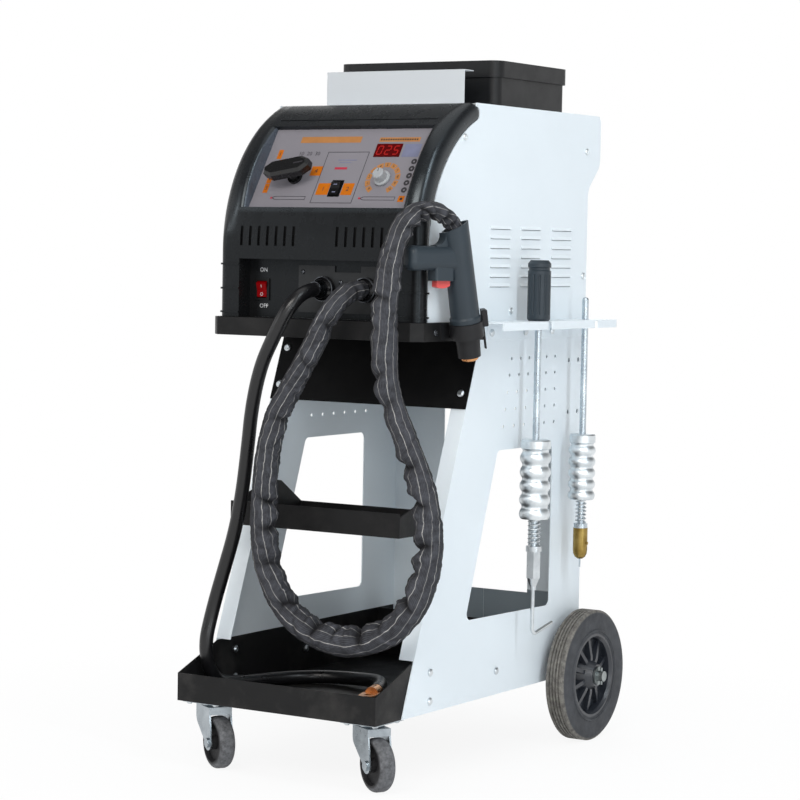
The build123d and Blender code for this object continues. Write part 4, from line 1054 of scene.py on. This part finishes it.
# Plain printed bars: left, right, foot, head and ink
plain_bars = [
    (-85, 19, 115, 125.5, orange),
    (50, 118, 116, 123.5, orange),
    (96, 124, 90, 112, lilac),
    (-8, 24, 84, 85.4, lilac),
    (-4, 16, 80, 81.2, lilac),
    (-9, 12, 68.6, 72.4, red),
    (116, 126, 14, 24, bright),
]


def level_scale(mesh, sheet, over):
    """Eleven numbered cells round the level knob."""
    for mark in range(11):
        start = scale_start - mark * scale_step
        cell = (start + scale_half, start - scale_half, 6)
        lines = [arc(level_spot, radius, *cell) for radius in scale_radii]
        band(mesh, *lines, *sheet, False, orange)
        way = math.radians(start)
        x = level_spot[0] + scale_middle * math.cos(way)
        y = level_spot[1] + scale_middle * math.sin(way)
        words(mesh, str(mark), 6, x, y, *over, dark)


def panel_signs():
    mesh = bmesh.new()
    sheet = (panel_face, ink_low, ink_high)
    over = (panel_face, ink_high, ink_high + over_high)
    for x0, x1, y0, y1, paint in plain_bars:
        bar(mesh, x0, x1, y0, y1, *sheet, paint)
    for step in range(16):
        bar(mesh, 52 + 4 * step, 54.6 + 4 * step, 118.4, 121.2, *over, dark)
    outline(mesh, [(-30, 11), (40.5, 11), (40.5, 99), (-30, 99)], 0.9, *sheet, dark)
    for x0, x1, number in ((-26, -5.5, "1"), (16.5, 35, "2")):
        bar(mesh, x0, x1, 25, 45, *sheet, bright)
        words(mesh, number, 10, (x0 + x1) / 2, 35, *over, dark)
    for x0, x1 in ((-100, -41), (51, 110.5)):
        pen = [(x0, 19.5), (x0 + 7, 16.4), (x1, 16.4), (x1, 22.6), (x0 + 7, 22.6)]
        hollow = [(x0 + 2.5, 19.5), (x0 + 7.4, 17.2), (x1 - 0.8, 17.2), (x1 - 0.8, 21.8), (x0 + 7.4, 21.8)]
        band(mesh, pen, hollow, *sheet, True, dark)
        bar(mesh, x0 - 1.5, x0 + 2, 18, 21, *over, red)
    level_scale(mesh, sheet, over)
    for x, y, wide, number in signs:
        bar(mesh, x - wide, x + wide, y - 8, y + 8, *sheet, bright)
        words(mesh, number, 10, x, y, *over, dark)
    words(mesh, "10  20  30", 9, -62, 96, *sheet, dark)
    for y in (82, 70, 58, 46, 34):
        ring(mesh, (120.5, y), 4.6, 1.5, *sheet, dark)
    bar(mesh, 119, 123, 17, 21, *over, dark)
    piece("panel_signs", mesh, "trolley", "panel_grey", *sign_inks)


# Display digits: left, right, foot and head of a figure's strokes, and the ones lit, in millimetres
strokes = {
    "a": (-3.2, 3.2, 6.1, 7.9),
    "b": (2.9, 4.7, 0.6, 6.4),
    "c": (2.9, 4.7, -6.4, -0.6),
    "d": (-3.2, 3.2, -7.9, -6.1),
    "e": (-4.7, -2.9, -6.4, -0.6),
    "f": (-4.7, -2.9, 0.6, 6.4),
    "g": (-3.2, 3.2, -0.9, 0.9),
}
figures = ((-13.5, "abcdef"), (0, "abged"), (13.5, "afgcd"))
figure_slant = 0.12
figure_x = 70.75
figure_y = 101.2
figure_low = 0.6
figure_high = 0.68


def display_digits():
    mesh = bmesh.new()
    for x, lit in figures:
        for name in lit:
            x0, x1, y0, y1 = strokes[name]
            corners = ((x0, y0), (x1, y0), (x1, y1), (x0, y1))
            slanted = [(figure_x + x + u + figure_slant * v, figure_y + v) for u, v in corners]
            prism(mesh, slanted, panel_face, figure_low, figure_high)
    piece("display_digits", mesh, "trolley", "display_red", "digit_red")


# Marks on switches and knobs, in millimetres
mark_high = 0.12
sign_size = 8.5
sign_high = 0.15
selector_angle = math.radians(12)
selector_top = 34
level_low = 16
level_top = 16.7


def switch_signs():
    mesh = bmesh.new()
    words(mesh, "ON", sign_size, -110.3, 714, recess_face, 0.0, sign_high)
    words(mesh, "OFF", sign_size, -109.4, 662, recess_face, 0.0, sign_high)
    piece("switch_signs", mesh, "trolley", "bezel_black", "print_white")


# Rockers: the face they sit in, the pivot's place and depth, and the cap's height over the pivot
power_pivot = (recess_face, -112, 686, 3, 5.4)
mode_pivot = (panel_face, 5.5, 36.0, 5, 7.2)
rocker_tilt = math.radians(9)
rocker_reach = 6.0


def rocker_frame(base, x, y, depth, out, up):
    """The sloped half of a rocker: above its pivot for up 1, below for up -1."""
    place = base @ Matrix.Translation((x, y, -depth)) @ Matrix.Rotation(rocker_tilt, 4, "X")
    half = Matrix.Translation((0, up * rocker_reach, out + rocker_reach * math.tan(rocker_tilt)))
    return place @ half @ Matrix.Rotation(up * rocker_tilt, 4, "X")


def rocker_marks():
    mesh = bmesh.new()
    bar(mesh, -0.4, 0.4, -2.2, 2.2, rocker_frame(*power_pivot, 1), 0, mark_high)
    ring(mesh, (0, 0), 2.4, 1.8, rocker_frame(*power_pivot, -1), 0, mark_high)
    piece("power_marks", mesh, "power_switch", "rocker_red", "print_white")
    mesh = bmesh.new()
    for up in (1, -1):
        bar(mesh, -3, 3, -0.7, 0.7, rocker_frame(*mode_pivot, up), 0, mark_high)
    piece("mode_marks", mesh, "mode_switch", "rocker_dark", "print_lilac")


def knob_marks():
    mesh = bmesh.new()
    selector = panel_face @ Matrix.Translation((*selector_spot, 0))
    selector = selector @ Matrix.Rotation(selector_angle, 4, "Z")
    bar(mesh, 14, 29, -1.1, 1.1, selector, selector_top, selector_top + mark_high)
    piece("selector_mark", mesh, "selector", "knob_black", "print_dark")
    mesh = bmesh.new()
    level = panel_face @ Matrix.Translation((*level_spot, 0))
    bar(mesh, -0.55, 0.55, 2.1, 6.6, level, level_low, level_top)
    piece("level_mark", mesh, "level", "knob_grey", "print_dark")


# Screws: radius and height of each kind of head, in millimetres
panel_head = (5.2, 2.8)
cover_head = (3.2, 2.0)
gland_head = (3.4, 2.2)
shelf_head = (4.2, 2.6)


def panel_screws():
    mesh = bmesh.new()
    for y, z in ((-119, 907), (247, 901), (243, 711), (21, 660)):
        screw(mesh, right_face, y, z, *panel_head, draw.uniform(0, 3))
        screw(mesh, left_face, -y, z, *panel_head, draw.uniform(0, 3))
    for x in (-155, 155):
        for z in (668, 755, 832):
            screw(mesh, rear_face, x, z, *panel_head, draw.uniform(0, 3))
    for x in (-97, 97):
        screw(mesh, top_face, x, -57, *cover_head, draw.uniform(0, 3))
    piece("panel_screws", mesh, "trolley", "zinc", "turned_zinc")
    mesh = bmesh.new()
    for x, z in ((-40.8, 712.6), (24.6, 698.3)):
        screw(mesh, gland_face, x, z, *gland_head, draw.uniform(0, 3))
    screw(mesh, shelf_face, -203, 632.5, *shelf_head, 0.6)
    piece("dark_screws", mesh, "trolley", "bezel_black", "gland_metal")


# Gland rings: radius and height along each form, in millimetres
knurled_ring = [(16.4, 4), (17.5, 4.3), (17.5, 7.7), (16.4, 8)]
cable_boot = [(9.6, 0), (13.4, 0), (13.0, 4), (12.2, 9), (11.4, 14), (10.8, 15), (9.6, 15)]
knurl_columns = 72
knurl_high = 0.35


def gland_rings():
    mesh = bmesh.new()
    for x in (ground_gland_x, torch_gland_x):
        place = facing((x, gland_plate_y, gland_height), x_way, z_way)
        lathe(mesh, knurled_ring, place, knurl_columns, knurl_high)
    lathe(mesh, cable_boot, facing((ground_gland_x, gland_front, gland_height), x_way, z_way))
    piece("gland_rings", mesh, "trolley", "bezel_black", "gland_metal")


# A dark sheet behind the vents as painted shade for their inside, in millimetres
shade_sheet_half = 134
shade_sheet_low = 748
shade_sheet_high = 787
shade_sheet_depths = (-230.6, -229.2)
shade_sheet_columns = 60
shade_sheet_rows = 8
shade_sheet_ripple = 0.25


def vent_filter():
    mesh = bmesh.new()
    rims = []
    for depth in shade_sheet_depths:
        layer = []
        for row in range(shade_sheet_rows + 1):
            line = []
            for column in range(shade_sheet_columns + 1):
                x = -shade_sheet_half + 2 * shade_sheet_half * column / shade_sheet_columns
                z = shade_sheet_low + (shade_sheet_high - shade_sheet_low) * row / shade_sheet_rows
                ripple = shade_sheet_ripple * noise.noise(Vector((x / 4, z / 4, depth)))
                line.append(mesh.verts.new(Vector((x, depth + ripple, z)) / 1000))
            layer.append(line)
        for here, there in zip(layer, layer[1:]):
            join_rows(mesh, here, there, False)
        rims.append(edge_of(list(zip(*layer))))
    join_rows(mesh, *rims)
    # The dark sheet paints the shade inside the vents
    piece("vent_filter", mesh, "trolley", "bezel_black", "painted_shade_black")


# Floor, backdrop and light
even_light = 0.41
overhead = 0.16


def lay_floor():
    """A pale floor that fades to white away from the object."""
    made = Maker("floor")
    made.colour(linear(244, 245, 247))
    made.put(made.shader, "Roughness", 0.9)
    bright = made.add("ShaderNodeEmission", {"Color": pure_white})
    away = made.ramp(made.around((0, 0, 0), z_way), 0.3, 1.0, 0.9, 1.0)
    share = made.product(made.seen_rays(), away)
    inputs = {"Fac": share, 1: made.shader.outputs[0], 2: bright.outputs[0]}
    blend = made.add("ShaderNodeMixShader", inputs)
    made.put(made.nodes["Material Output"], "Surface", blend.outputs[0])
    bpy.ops.mesh.primitive_plane_add(size=40, location=(0, 0, 0))
    floor = bpy.context.object
    floor.name = "floor"
    floor.data.materials.append(made.material)


def hang_backdrop():
    """White at eye level and dim overhead where it is seen, and one level where it only lights."""
    world = bpy.data.worlds.new("world")
    bpy.context.scene.world = world
    world.use_nodes = True
    made = Tree(world.node_tree)
    back = made.nodes["Background"]
    height = made.split(made.add("ShaderNodeTexCoord").outputs["Generated"])["Z"]
    backdrop = made.ramp(height, 0.1, 0.5, 1.0, overhead)
    made.put(back, "Strength", made.ramp(made.seen_rays(), 0.0, 1.0, even_light, backdrop))
    made.put(back, "Color", pure_white)


def lamp(name, place, target, size, power, tint=(1.0, 1.0, 1.0)):
    data = bpy.data.lights.new(name, "AREA")
    data.shape = "RECTANGLE"
    data.size, data.size_y = size
    data.energy = power
    data.color = tint
    item = add_object(name, data)
    item.location = place
    item.visible_camera = False
    item.rotation_euler = (Vector(target) - Vector(place)).to_track_quat("-Z", "Y").to_euler()


def lights():
    middle = (0, 0, 0.6)
    lamp("key", (3.0, -1.2, 0.5), (-0.1, 0.1, 0.35), (0.7, 0.7), 9, (0.88, 0.95, 1.0))
    lamp("edge", (2.7, -1.0, 2.9), (0, 0, 0.8), (0.16, 1.8), 33, (0.86, 0.94, 1.0))
    lamp("front", (0.9, -3.4, 3.0), middle, (2.4, 1.4), 82, (1.0, 0.97, 0.93))
    lamp("fill", (2.1, -2.4, 1.0), (-0.1, 0, 0.35), (0.9, 0.9), 11, (0.93, 0.97, 1.0))
    lamp("side", (-2.4, -2.2, 1.7), middle, (0.4, 1.4), 8, (0.95, 0.98, 1.0))
    lamp("top", (0.2, 0.3, 3.2), middle, (2.4, 2.4), 14)
    lamp("rear", (-1.5, 2.6, 2.0), middle, (1.8, 1.8), 16)


place_camera()
lay_cords()
dress_nodes()
round_edges()
panel_signs()
display_digits()
switch_signs()
rocker_marks()
knob_marks()
panel_screws()
gland_rings()
vent_filter()
lay_floor()
hang_backdrop()
lights()
bpy.context.scene.view_settings.view_transform = "Standard"
